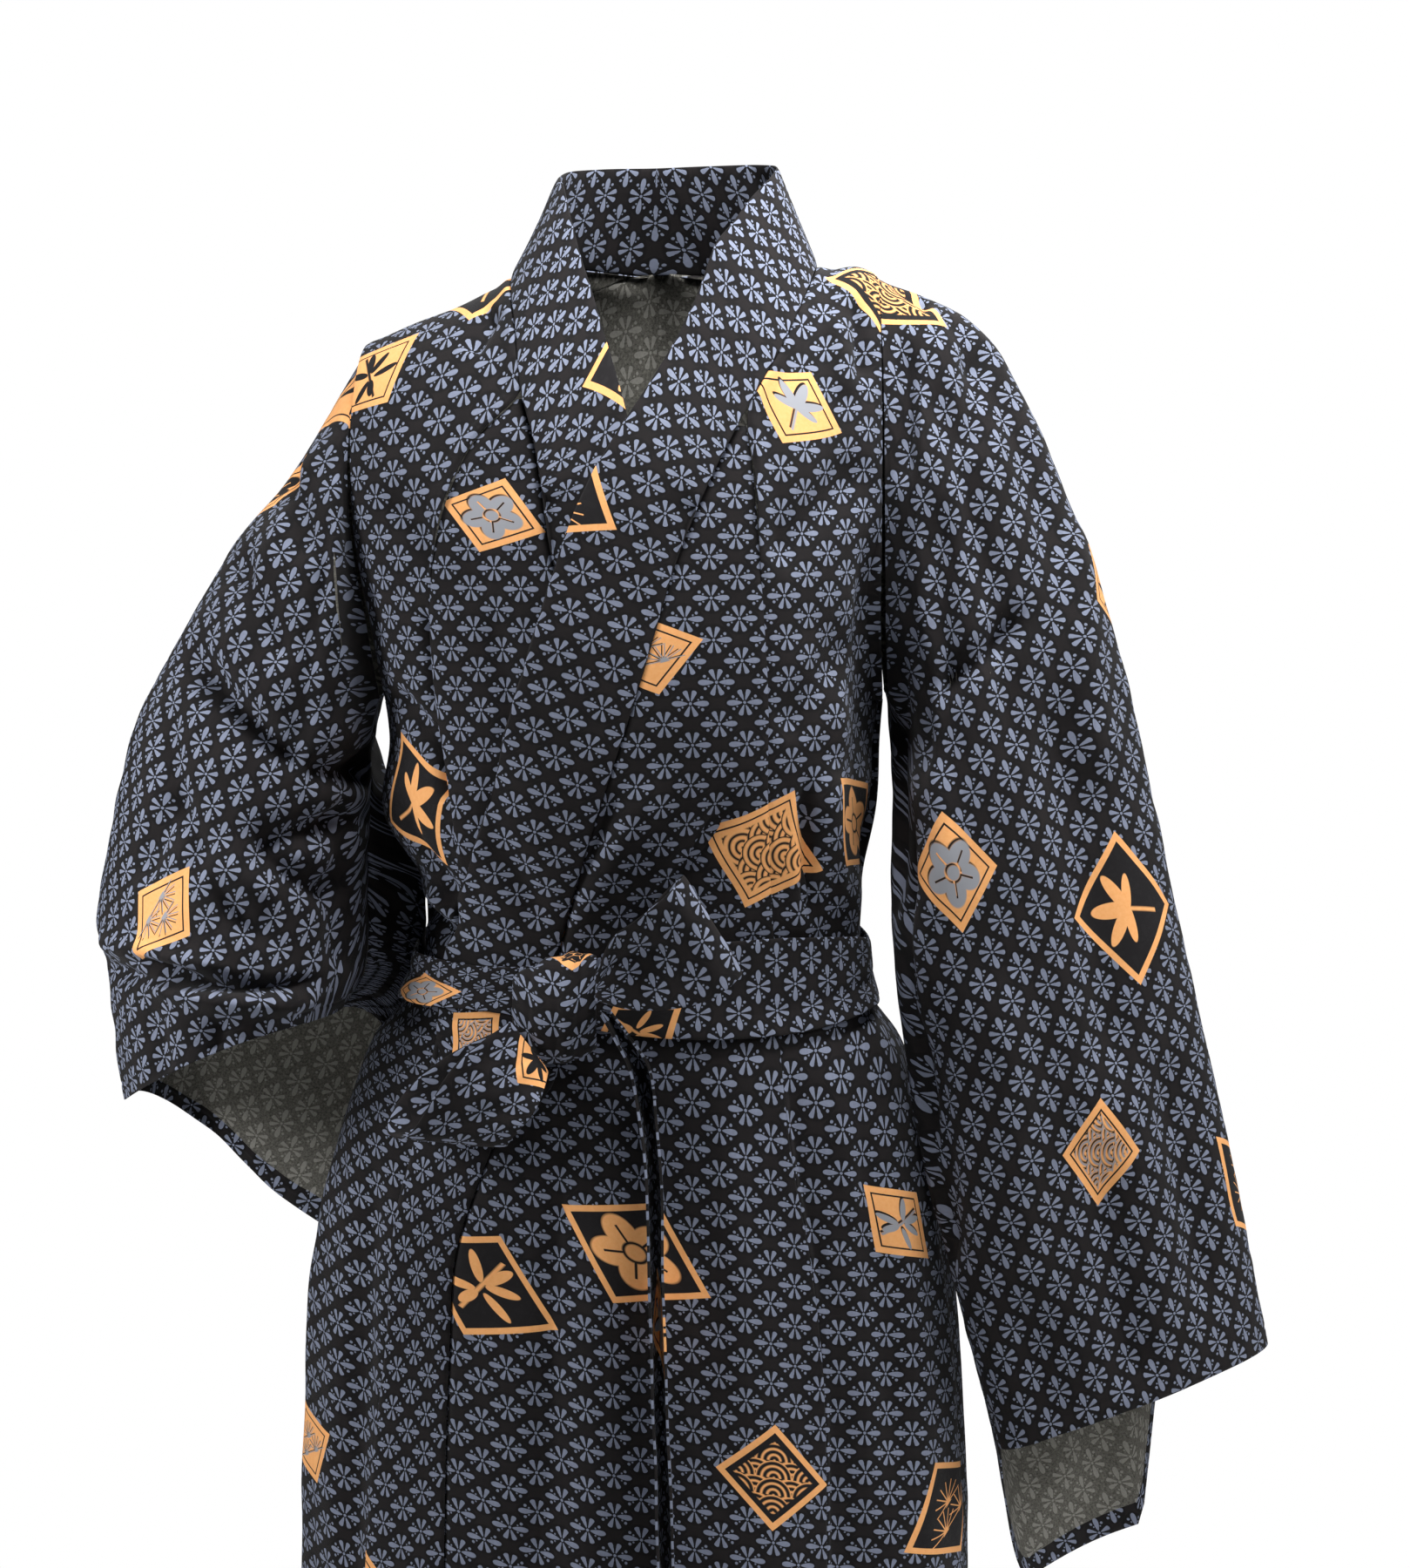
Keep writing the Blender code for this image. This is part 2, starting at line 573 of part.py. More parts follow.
# Rows of the body from the hem up to the shoulder line
SKIRT_ROWS = [HEM, -0.800, -0.735, -0.670, -0.610, -0.560, -0.515, -0.475, -0.445]
WAIST_ROWS = [-0.422, -0.400, -0.378, -0.356, -0.334, -0.310, -0.280, ARMPIT]
CHEST_ROWS = [-0.238, -0.218, -0.195, -0.170, -0.145, LEFT_OKUMI_TOP, RIGHT_OKUMI_TOP, -0.087]
NECK_ROWS = [NECK_BACK, -0.066, -0.055, -0.038, -0.020, -0.007, 0.0]
BODY_ROWS = np.array(SKIRT_ROWS + WAIST_ROWS + CHEST_ROWS + NECK_ROWS)


def seam_x(seams, name, height):
    """Where a seam crosses the row at this height, seen from the front."""
    x = seams.read(name, height)
    for _ in range(SEAM_ROUNDS):
        z = body_surface(turn_at(x, height), height, np.ones_like(x))[..., 2]
        x = 0.5 * x + 0.5 * seams.read(name, z)
    return x


def neck_x(side, height):
    """Where the neck hole's back edge crosses the row at this height, towards one side."""
    reach = LEVELS.read("back", height) * np.cos(roll_share(height) * np.pi / 2) ** (2 / BACK_ROLL)
    share = np.clip(reach / NECK_REACH, 0, 1)
    opening = NECK_X + side * NECK_HALF * np.sqrt(1 - share**2)
    return np.where(height <= NECK_BACK, BACK_SEAM.read("x", height), opening)


def armhole_turn(side, height):
    edge = ARMHOLES.read("left" if side > 0 else "right", height)
    return np.where(height > ARMPIT, turn_at(edge, height), side * np.pi / 2)


def body_half(name, side, seams, over):
    """One length of cloth from the front hem over the shoulder to the back hem."""
    rows, columns = len(BODY_ROWS), BODY_COLUMNS
    gap = side * SEAM / 2
    share = np.linspace(0, 1, columns)
    front_edge = turn_at(seam_x(seams, "okumi", BODY_ROWS) + gap, BODY_ROWS)
    back_edge = turn_at(neck_x(side, BODY_ROWS) + gap, BODY_ROWS)
    back_edge[-1] = front_edge[-1]
    outer_edge = armhole_turn(side, BODY_ROWS)
    points, normals = [], []
    for face, inner_edge in ((1, front_edge), (-1, back_edge)):
        turn = inner_edge[:, None] + (outer_edge - inner_edge)[:, None] * share
        height = np.repeat(BODY_ROWS[:, None], columns, axis=1)
        lift = over_lift(turn, height) if over and face > 0 else 0.0 * turn
        spots, outwards = cloth(turn, height, np.full_like(turn, face), lift)
        flat = outwards[:, -1].copy()
        flat[:, 0] = 0
        above = BODY_ROWS > ARMPIT + TOUCH
        outwards[above, -1] = (flat / np.maximum(np.linalg.norm(flat, axis=1, keepdims=True), TOUCH))[above]
        points.append(spots)
        normals.append(outwards)
    normals[0][-1] = normals[1][-1] = (0, 0, 1)
    strip = np.concatenate([points[0], points[1][-2::-1]])
    strip_normals = np.concatenate([normals[0], normals[1][-2::-1]])
    faces = grid_faces(len(strip), columns, flip=side < 0)
    below = int(np.sum(BODY_ROWS <= ARMPIT + TOUCH))
    shared = {}
    for row in range(below):
        mirrored = len(strip) - 1 - row
        shared[mirrored * columns + columns - 1] = row * columns + columns - 1
    faces = [[shared.get(corner, corner) for corner in face] for face in faces]
    used = sorted({corner for face in faces for corner in face})
    place = {corner: index for index, corner in enumerate(used)}
    faces = [[place[corner] for corner in face] for face in faces]
    flat_points, flat_normals = strip.reshape(-1, 3)[used], strip_normals.reshape(-1, 3)[used]
    return thick_sheet(name, flat_points, faces, flat_normals, CLOTH)


def okumi(name, side, seams, top, over):
    """The tapered length between a front and its collar."""
    heights = BODY_ROWS[BODY_ROWS <= top]
    share = np.linspace(0, 1, OKUMI_COLUMNS)
    inner = seam_x(seams, "collar", heights) + side * SEAM / 2
    outer = seam_x(seams, "okumi", heights) - side * SEAM / 2
    first, last = turn_at(inner, heights), turn_at(outer, heights)
    turn = first[:, None] + (last - first)[:, None] * share
    height = np.repeat(heights[:, None], OKUMI_COLUMNS, axis=1)
    lift = over_lift(turn, height) if over else 0.0 * turn
    spots, outwards = cloth(turn, height, np.ones_like(turn), lift)
    faces = grid_faces(len(heights), OKUMI_COLUMNS, flip=side < 0)
    return thick_sheet(name, spots.reshape(-1, 3), faces, outwards.reshape(-1, 3), CLOTH)


def collar_side(side, seams, width_name, over):
    """Seam and free edge of one half of the collar, from the hem up to the middle of the back."""
    gap = side * SEAM
    seam_across = seam_x(seams, "collar", BODY_ROWS) - gap / 2
    turn = turn_at(seam_across, BODY_ROWS)
    lift = over_lift(turn, BODY_ROWS) if over else 0.0 * turn
    front, front_out = cloth(turn, BODY_ROWS, np.ones_like(turn), lift)
    back_rows = BODY_ROWS[BODY_ROWS >= NECK_BACK][::-1][1:]
    back_turn = turn_at(neck_x(side, back_rows), back_rows)
    back, back_out = cloth(back_turn, back_rows, -np.ones_like(back_turn), 0.0 * back_turn)
    seam, outwards = np.concatenate([front, back]), np.concatenate([front_out, back_out])
    along = np.concatenate([[0], np.cumsum(np.linalg.norm(np.diff(seam, axis=0), axis=1))])
    from_back = side * (along[-1] - along)
    rising = step((seam[:, 2] - COLLAR_STANDS_FROM) / COLLAR_STANDS_OVER)
    seam += outwards * (rising * (CLOTH / 2 + BAND_CLOTH / 2 + SEAM * 3))[:, None]
    slope_x, slope_z = np.gradient(seam[:, 0]), np.gradient(seam[:, 2])
    reach = np.hypot(slope_x, slope_z)
    width = COLLAR_FRONT.read(width_name, seam[:, 2])
    free_x = seam[:, 0] - side * width * np.abs(slope_z) / reach
    free_z = seam[:, 2] + width * np.abs(slope_x) / reach
    flat_free, _ = front_cloth(free_x, np.minimum(free_z, -0.02), over)
    neck_free = NECK_EDGE.point("x y z", from_back)
    blend = step((COLLAR_FREE_FROM - np.abs(from_back)) / COLLAR_FREE_OVER)[:, None]
    return seam, flat_free * (1 - blend) + neck_free * blend


def collar():
    """One band all the way: up the left front, round the neck and down under the right front."""
    left_seam, left_free = collar_side(1, LEFT_SEAMS, "left", True)
    right_seam, right_free = collar_side(-1, RIGHT_SEAMS, "right", False)
    seam = np.concatenate([left_seam, right_seam[-2::-1]])
    free = np.concatenate([left_free, right_free[-2::-1]])
    share = np.linspace(0, 1, COLLAR_COLUMNS)[:, None]
    grid = np.stack([seam + (free - seam) * part for part in share], axis=1)
    lower = grid[:, :, 2] < COLLAR_LIES_BELOW
    left_part = np.arange(len(grid)) < len(left_seam)
    for row in range(len(grid)):
        for column in range(1, COLLAR_COLUMNS - 1):
            if lower[row].all():
                x, _, z = grid[row, column]
                grid[row, column] = front_cloth(np.array([x]), np.array([z]), left_part[row])[0][0]
    normals = grid_normals(grid)
    faces = grid_faces(len(grid), COLLAR_COLUMNS)
    return thick_sheet("collar", grid.reshape(-1, 3), faces, normals.reshape(-1, 3), BAND_CLOTH, True)


def armhole_ring(side, turns):
    """Points round an armhole, from the shoulder over the front, with the directions out of the arm."""
    heights = np.linspace(ARMPIT, 0, ARMHOLE_POINTS)
    loops = []
    for face in (1, -1):
        turn = armhole_turn(side, heights)
        spots, outwards = cloth(turn, heights, np.full_like(turn, face), 0.0 * turn)
        loops.append(spots)
    centre_z = (loops[0][0, 2] + loops[0][-1, 2]) / 2
    half_z = (loops[0][-1, 2] - loops[0][0, 2]) / 2
    ring = []
    for turn in turns:
        face = 0 if np.sin(turn) >= 0 else 1
        level = centre_z + half_z * np.cos(turn)
        spots = loops[face]
        ring.append([np.interp(level, spots[:, 2], spots[:, axis]) for axis in range(3)])
    ring = np.array(ring)
    ring[:, 2] = centre_z + half_z * np.cos(turns)
    low = step((-np.cos(turns) + 0.2) / 1.2)
    ring[:, 0] += side * (SEAM + ARMHOLE_GAP + UNDERARM_GAP * low)
    return ring


def sleeve_ring(table, station, turns, hang):
    """A ring of the sleeve through its outer, front, inner and back points."""
    outer = table.point("outer_x outer_y outer_z", station)
    inner = table.point("inner_x inner_y inner_z", station)
    middle, reach = (outer + inner) / 2, (outer - inner) / 2
    before, behind = table.read("before", station), table.read("behind", station)
    rise, drop = table.read("rise", station), table.read("drop", station)
    ahead = np.sin(turns)
    ring = middle + np.cos(turns)[:, None] * reach
    ring[:, 1] -= np.where(ahead > 0, before, behind) * ahead
    ring[:, 2] += rise * np.maximum(ahead, 0) ** 1.5
    starts, full, ends = hang
    share = (1 - np.cos(turns)) / 2
    falling = np.clip((share - starts) / (full - starts), 0, 1)
    rising = np.clip((share - ends) / (1 - ends), 0, 1) ** 2
    ring[:, 2] -= drop * (falling * (1 - rising)) * (ahead < -TOUCH)
    return ring


def sleeve(name, side, table, folds, hang):
    """A wide tube from the armhole to the open cuff."""
    turns = np.arange(SLEEVE_POINTS) * 2 * np.pi / SLEEVE_POINTS
    first = armhole_ring(side, turns)
    rings = []
    for station in SLEEVE_STATIONS:
        ring = sleeve_ring(table, max(station, 1.0), turns, hang)
        if station < 1.0:
            share = step(station) * 0.5 + station * 0.5
            ring = first + (ring - first) * share
        rings.append(ring)
    grid = np.array(rings)
    normals = grid_normals(grid, closed=True) * side
    depth = fold_depth(folds, turns[None, :], SLEEVE_STATIONS[:, None], SLEEVE_RADIUS, STATION_LENGTH)
    grid = grid + normals * (depth * step(SLEEVE_STATIONS - 0.2)[:, None])[..., None]
    normals = grid_normals(grid, closed=True) * side
    flat = normals[0].copy()
    flat[:, 0] = 0
    normals[0] = flat / np.linalg.norm(flat, axis=1, keepdims=True)
    faces = grid_faces(len(SLEEVE_STATIONS), SLEEVE_POINTS, closed=True, flip=side < 0)
    return thick_sheet(name, grid.reshape(-1, 3), faces, normals.reshape(-1, 3), CLOTH)


def belt_place(turn_degrees, across):
    """A point of the belt by its turn and its share across, with its direction outwards."""
    around = (turn_degrees + 180) % 360 - 180
    lower, upper = BELT.read("lower", around), BELT.read("upper", around)
    height = lower + (upper - lower) * across
    face = np.where(np.abs(around) <= 90, 1, -1)
    turn = np.where(face > 0, np.radians(around), np.radians(np.sign(around) * 180 - around))
    normal = body_normal(turn, height, face)
    over = WRAP * step((np.radians(86) - np.abs(turn)) / np.radians(20)) * (face > 0)
    crease = np.zeros_like(height)
    for first_turn, first, last_turn, last, width, depth in BELT_CREASES:
        share = (around - first_turn) / (last_turn - first_turn)
        line = first + (last - first) * share
        ends = step(share / 0.15) * step((1 - share) / 0.1)
        crease += depth * np.exp(-(((across - line) / width) ** 2)) * ends
    depth = fold_depth(BODY_FOLDS, full_turn(turn, face), height, BODY_RADIUS)
    return body_surface(turn, height, face) + normal * (BELT_LIFT + over + crease + depth)[..., None], normal


def belt_wrap():
    turns = np.arange(BELT_POINTS) * 360 / BELT_POINTS - 180
    across = np.linspace(0, 1, BELT_ROWS)
    grid, normals = belt_place(*np.meshgrid(turns, across))
    faces = grid_faces(BELT_ROWS, BELT_POINTS, closed=True)
    return thick_sheet("belt_wrap", grid.reshape(-1, 3), faces, normals.reshape(-1, 3), BAND_CLOTH, True)


def belt_front(x, z):
    """How far forward the belt's face lies at x."""
    turn = turn_at(x, np.full_like(x, -0.40))
    return body_surface(turn, z, np.ones_like(x))[..., 1] - BELT_LIFT - WRAP - BAND_CLOTH / 2


def belt_knot():
    rows = []
    for across in np.linspace(KNOT.rows[0, 0], KNOT.rows[-1, 0], KNOT_COLUMNS):
        lower, upper, forward = (KNOT.read(name, across) for name in ("lower", "upper", "forward"))
        arch = np.linspace(-np.pi / 2, np.pi / 2, KNOT_ARCH)
        z = (lower + upper) / 2 + (upper - lower) / 2 * np.sin(arch)
        base = belt_front(np.array([across]), np.array([BELT_MIDDLE]))[0] - BAND_CLOTH / 2 + SEAM * 2
        y = base - forward * np.maximum(np.cos(arch), 0) ** 0.8
        y = np.minimum(y, skirt_front(np.full_like(z, across), z) - KNOT_OFF_SKIRT)
        rows.append(np.stack([np.full_like(z, across), y, z], axis=-1))
    grid = np.array(rows)
    normals = -grid_normals(grid)
    faces = grid_faces(len(grid), KNOT_ARCH, flip=True)
    return thick_sheet("belt_knot", grid.reshape(-1, 3), faces, normals.reshape(-1, 3), BAND_CLOTH, True)


def belt_loop(name, table):
    stations = np.linspace(0, table.rows[-1, 0], LOOP_ROWS)
    top, low = table.point("top_x top_y top_z", stations), table.point("low_x low_y low_z", stations)
    share = np.linspace(0, 1, LOOP_COLUMNS)
    grid = top[:, None] + (low - top)[:, None] * share[:, None]
    grid[..., 1] += table.read("dish", stations)[:, None] * np.sin(share * np.pi)
    normals = grid_normals(grid)
    faces = grid_faces(LOOP_ROWS, LOOP_COLUMNS)
    return thick_sheet(name, grid.reshape(-1, 3), faces, normals.reshape(-1, 3), BAND_CLOTH, True)


def skirt_front(x, z):
    """How far forward the top layer of the skirt lies."""
    spots, _ = front_cloth(x, z, True)
    return spots[..., 1] - CLOTH / 2


def belt_long_end():
    stations = np.linspace(0, LONG_END.rows[-1, 0], LONG_END_ROWS)
    x, z, depth, opening = (LONG_END.read(name, stations) for name in ("x", "z", "depth", "open"))
    rest = skirt_front(x, z) - CLOTH / 2 - SEAM * 1.5
    rest -= LONG_END_FORWARD * step((LONG_END_BACK_BY - stations) / LONG_END_BACK_OVER)
    profile = [(-1.0, 1.0), (-0.8, 0.5), (0.0, 0.0), (0.8, 0.5), (1.0, 1.0)]
    grid = np.stack([np.stack([x + opening * beside, rest - depth * ahead, z], axis=-1)
                     for beside, ahead in profile], axis=1)
    normals = grid_normals(grid)
    faces = grid_faces(len(grid), len(profile))
    return thick_sheet("belt_end_long", grid.reshape(-1, 3), faces, normals.reshape(-1, 3), CLOTH, True)


def belt_short_end():
    stations = np.linspace(0, SHORT_END.rows[-1, 0], SHORT_END_ROWS)
    left, right, z = (SHORT_END.read(name, stations) for name in ("left_x", "right_x", "z"))
    share = np.linspace(0, 1, SHORT_END_COLUMNS)
    x = left[:, None] + (right - left)[:, None] * share
    z = np.repeat(z[:, None], SHORT_END_COLUMNS, axis=1)
    grid = np.stack([x, skirt_front(x, z) - BAND_CLOTH - SEAM * 2, z], axis=-1)
    normals = -grid_normals(grid)
    faces = grid_faces(len(stations), SHORT_END_COLUMNS, flip=True)
    return thick_sheet("belt_end_short", grid.reshape(-1, 3), faces, normals.reshape(-1, 3), BAND_CLOTH, True)


cotton = make_material("printed cotton", PRINT)
cotton_light = make_material("printed cotton, doubled", PRINT_LIGHT)

body_half("body_left", 1, LEFT_SEAMS, True)
body_half("body_right", -1, RIGHT_SEAMS, False)
okumi("okumi_left", 1, LEFT_SEAMS, LEFT_OKUMI_TOP, True)
okumi("okumi_right", -1, RIGHT_SEAMS, RIGHT_OKUMI_TOP, False)
collar()
sleeve("sleeve_left", 1, LEFT_SLEEVE, LEFT_SLEEVE_FOLDS, LEFT_HANG)
sleeve("sleeve_right", -1, RIGHT_SLEEVE, RIGHT_SLEEVE_FOLDS, RIGHT_HANG)
belt_wrap()
belt_knot()
belt_loop("belt_loop_upper", UPPER_LOOP)
belt_loop("belt_loop_lower", LOWER_LOOP)
belt_long_end()
belt_short_end()
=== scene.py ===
import json
import bpy
import numpy as np
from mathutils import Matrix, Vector

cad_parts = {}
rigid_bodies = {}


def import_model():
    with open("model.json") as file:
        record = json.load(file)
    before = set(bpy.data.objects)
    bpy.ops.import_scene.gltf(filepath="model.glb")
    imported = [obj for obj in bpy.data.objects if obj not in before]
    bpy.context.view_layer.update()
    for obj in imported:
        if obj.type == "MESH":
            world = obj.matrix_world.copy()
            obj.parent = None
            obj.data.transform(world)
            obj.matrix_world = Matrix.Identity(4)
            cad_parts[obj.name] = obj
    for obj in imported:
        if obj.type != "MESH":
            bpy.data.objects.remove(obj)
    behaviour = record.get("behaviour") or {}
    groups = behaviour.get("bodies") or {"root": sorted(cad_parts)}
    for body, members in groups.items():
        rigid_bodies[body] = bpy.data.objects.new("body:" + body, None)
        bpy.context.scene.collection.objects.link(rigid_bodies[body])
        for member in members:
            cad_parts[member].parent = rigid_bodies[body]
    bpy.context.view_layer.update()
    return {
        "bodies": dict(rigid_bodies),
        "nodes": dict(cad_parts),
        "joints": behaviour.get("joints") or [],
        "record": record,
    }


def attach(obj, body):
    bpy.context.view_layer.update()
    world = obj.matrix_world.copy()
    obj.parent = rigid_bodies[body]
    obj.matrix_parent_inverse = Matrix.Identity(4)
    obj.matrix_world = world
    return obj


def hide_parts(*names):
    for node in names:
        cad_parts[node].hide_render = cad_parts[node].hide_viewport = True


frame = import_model()
print("loaded", len(frame["nodes"]), "solids")

# the camera stands where the photo was taken from
shot = {"at": (0.041, -1.90, -0.05), "to": (0.041, 0.0, -0.30), "lens": 76.66, "sensor": 36}


def addObject(name, data, at=(0, 0, 0), to=None):
    # cameras and lamps are aimed at the second point
    made = bpy.data.objects.new(name, data)
    made.location = at
    if to:
        aim = Vector(to) - Vector(at)
        made.rotation_euler = aim.to_track_quat("-Z", "Y").to_euler()
    bpy.context.scene.collection.objects.link(made)
    return made


cameraData = bpy.data.cameras.new("camera")
cameraData.lens = shot["lens"]
cameraData.sensor_width = shot["sensor"]
bpy.context.scene.camera = addObject("camera", cameraData, shot["at"], shot["to"])
print("camera set")


def fade(value):
    value = np.clip(value, 0, 1)
    return value * value * (3 - 2 * value)


class Sizes:
    # columns of sizes in millimetres, read in metres along the first column or along the given keys
    def __init__(self, columns, rows, keys=None):
        self.columns = columns.split()
        self.rows = np.array(rows, dtype=float) / 1000
        self.keys = self.rows[:, 0] if keys is None else np.array(keys, dtype=float)

    def read(self, name, at):
        keys, values = self.keys, self.rows[:, self.columns.index(name)]
        slopes = np.gradient(values, keys)
        at = np.clip(np.asarray(at, dtype=float), keys[0], keys[-1])
        cell = np.clip(np.searchsorted(keys, at, side="right") - 1, 0, len(keys) - 2)
        span = keys[cell + 1] - keys[cell]
        t = (at - keys[cell]) / span
        low, high = values[cell], values[cell + 1]
        start, end = slopes[cell] * span, slopes[cell + 1] * span
        rising = low * (2 * t**3 - 3 * t**2 + 1) + high * (3 * t**2 - 2 * t**3)
        return rising + start * (t**3 - 2 * t**2 + t) + end * (t**3 - t**2)

    def point(self, names, at):
        return np.stack([self.read(name, at) for name in names.split()], axis=-1)


# shader maths: a wire is one socket, and sums on wires add Math nodes
def plug(tree, value, socket):
    if isinstance(value, Wire):
        tree.links.new(value.socket, socket)
    else:
        socket.default_value = value


def maths(operation, swapped=False):
    def apply(self, *others):
        return self.calc(operation, *others, swapped=swapped)
    return apply


class Wire:
    def __init__(self, tree, socket):
        self.tree = tree
        self.socket = socket

    def calc(self, operation, *others, swapped=False):
        node = self.tree.nodes.new("ShaderNodeMath")
        node.operation = operation
        values = (self,) + others
        for spot, value in enumerate(reversed(values) if swapped else values):
            plug(self.tree, value, node.inputs[spot])
        return Wire(self.tree, node.outputs[0])

    __add__ = __radd__ = maths("ADD")
    __mul__ = __rmul__ = maths("MULTIPLY")
    __sub__, __rsub__ = maths("SUBTRACT"), maths("SUBTRACT", True)
    __truediv__, __rtruediv__ = maths("DIVIDE"), maths("DIVIDE", True)
    __pow__ = maths("POWER")
    __abs__ = maths("ABSOLUTE")
    __lt__, __gt__ = maths("LESS_THAN"), maths("GREATER_THAN")


def root(value):
    return value.calc("SQRT")


def larger(first, second):
    return first.calc("MAXIMUM", second)


def repeat(value, size):
    # the distance to the nearest multiple of size
    return value.calc("WRAP", size / 2, -size / 2)


def below(value, limit, blur):
    # 1 where value is under the limit and 0 beyond it, over a narrow blur
    node = value.tree.nodes.new("ShaderNodeMath")
    node.operation = "MULTIPLY_ADD"
    node.use_clamp = True
    plug(value.tree, value, node.inputs[0])
    node.inputs[1].default_value = -1 / blur
    node.inputs[2].default_value = limit / blur + 0.5
    return Wire(value.tree, node.outputs[0])


class Finish:
    # one material, built node by node
    def __init__(self, name):
        self.material = bpy.data.materials.new(name)
        self.material.use_nodes = True
        self.tree = self.material.node_tree
        self.shader = self.tree.nodes["Principled BSDF"]

    def node(self, kind, settings, values, output=0):
        made = self.tree.nodes.new("ShaderNode" + kind)
        for name, setting in settings.items():
            if name == "stops":
                for element, (position, colour) in zip(made.color_ramp.elements, setting):
                    element.position = position
                    element.color = colour
            else:
                setattr(made, name, setting)
        for name, value in values.items():
            plug(self.tree, value, made.inputs[name])
        return Wire(self.tree, made.outputs[output])

    def set(self, name, value):
        plug(self.tree, value, self.shader.inputs[name])

    def mix(self, share, first, second):
        # the colour sockets of a Mix node are its last pair
        return self.node("Mix", {"data_type": "RGBA"}, {0: share, 6: first, 7: second}, 2)

    def split(self, vector):
        return [self.node("SeparateXYZ", {}, {0: vector}, place) for place in range(3)]


# the printed cotton: small flowers in two nets, with a few orange badges over them
flower = {
    "alongWeft": 28.8,  # millimetres from flower to flower
    "alongWarp": 22.2,
    "petal": (0.245, 0.275, 0.375, 1),
    "petalDull": (0.135, 0.153, 0.208, 1),
    "halo": (0.0030, 0.0027, 0.0034, 1),
    "ground": (0.0055, 0.0045, 0.0050, 1),
    "groundLight": (0.0125, 0.0100, 0.0105, 1),
    "wornFrom": 0.35,  # of the noise
    "wornTo": 0.68,
}
badge = {
    "orange": (0.800, 0.330, 0.098, 1),
    "orangeLight": (0.930, 0.500, 0.210, 1),
    "black": (0.0080, 0.0070, 0.0080, 1),
    "silver": (0.300, 0.310, 0.340, 1),
    "border": 3.4,  # millimetres, on black badges
    "inset": 3.9,  # from the edge to the thin line on orange ones
    "line": 0.9,
    "motifSize": 0.80,  # larger values draw the motifs smaller
}
reverse = {
    "dark": (0.036, 0.035, 0.030, 1),
    "ground": (0.185, 0.178, 0.155, 1),
    "ghost": (0.240, 0.234, 0.212, 1),
    "roughness": 0.85,
}
weave = {
    "thread": 0.55,  # millimetres
    "depth": 0.00006,
    "crumple": 0.00035,
    "strength": 0.6,
    "roughness": 0.82,
    "sheen": 0.03,
    "sheenRoughness": 0.5,
    "specular": 0.22,
}


def turned(x, y, degrees):
    c, s = float(np.cos(np.radians(degrees))), float(np.sin(np.radians(degrees)))
    return x * c + y * s, y * c - x * s


def leaf(x, y, degrees, start, end, width, blur=0.12):
    # a slender leaf that lies along a ray from the middle
    along, across = turned(x, y, degrees)
    middle, half = (start + end) / 2, (end - start) / 2
    lengthwise = (along - middle) * (along - middle) * (1 / half**2)
    return below(lengthwise + across * across * (1 / width**2), 1, blur)


def anyOf(masks):
    total = masks[0]
    for mask in masks[1:]:
        total = larger(total, mask)
    return total


def flowerMasks(weft, warp):
    # x and y run from the middle of the nearest flower, in millimetres
    ax, ay = repeat(weft, flower["alongWeft"]), repeat(warp, flower["alongWarp"])
    bx = repeat(weft + flower["alongWeft"] / 2, flower["alongWeft"])
    by = repeat(warp + flower["alongWarp"] / 2, flower["alongWarp"])
    nearer = (ax * ax + ay * ay) < (bx * bx + by * by)
    x, y = abs(bx + (ax - bx) * nearer), abs(by + (ay - by) * nearer)
    halo = below(x * x * (1 / 10.6**2) + y * y * (1 / 8.3**2), 1, 0.25)
    side = below(((x - 5.55) * (1 / 4.1)) ** 2 + (y / (x * 0.125 + 0.72)) ** 2, 1, 0.16)
    along, across = turned(x, y, 68)
    wedge = below(((along - 4.3) * (1 / 3.0)) ** 6 + (across / (along * 0.215 + 0.02)) ** 2, 1, 0.16)
    dots = [((6.1, 3.2), 0.80), ((4.2, 2.0), 0.48), ((0, 0), 0.80)]
    spots = [below((x - px) * (x - px) + (y - py) * (y - py), r * r, 0.3) for (px, py), r in dots]
    return halo, anyOf([side, wedge] + spots)


# plain motifs for the badges, each in a field from -1 to 1
def plumBlossom(x, y):
    radius, angle = root(x * x + y * y), y.calc("ARCTAN2", x)
    lobes = abs((angle * 2.5).calc("COSINE")) * 0.17 + 0.30
    petals = below(radius - lobes, 0, 0.03)
    gaps = below(abs((angle * 2.5).calc("SINE")) * radius, 0.035, 0.02) * (radius > 0.13)
    heart = below(abs(radius - 0.12), 0.018, 0.02)
    return petals * (1 - larger(gaps * (radius < 0.34), heart))


def bambooSprig(x, y):
    stem = below(abs(x - y * 0.25), 0.022, 0.02) * (abs(y) < 0.46)
    low = y + 0.06
    upperLeaves = ((62, 0.47), (118, 0.44), (20, 0.40))
    lowerLeaves = ((-28, 0.42), (205, 0.42), (246, 0.36))
    leaves = [leaf(x, y, turn, 0.04, reach, 0.062) for turn, reach in upperLeaves]
    leaves += [leaf(x, low, turn, 0.05, reach, 0.058) for turn, reach in lowerLeaves]
    return anyOf([stem] + leaves)


def mapleLeaf(x, y):
    points = ((90, 0.50, 0.085), (38, 0.46, 0.078), (142, 0.46, 0.078))
    points += ((-8, 0.36, 0.066), (188, 0.36, 0.066))
    leaves = [leaf(x, y, turn, -0.06, reach, width) for turn, reach, width in points]
    stem = below(abs(x + y * 0.12), 0.020, 0.02) * (y < 0.02) * (y > -0.46)
    return anyOf(leaves + [stem])


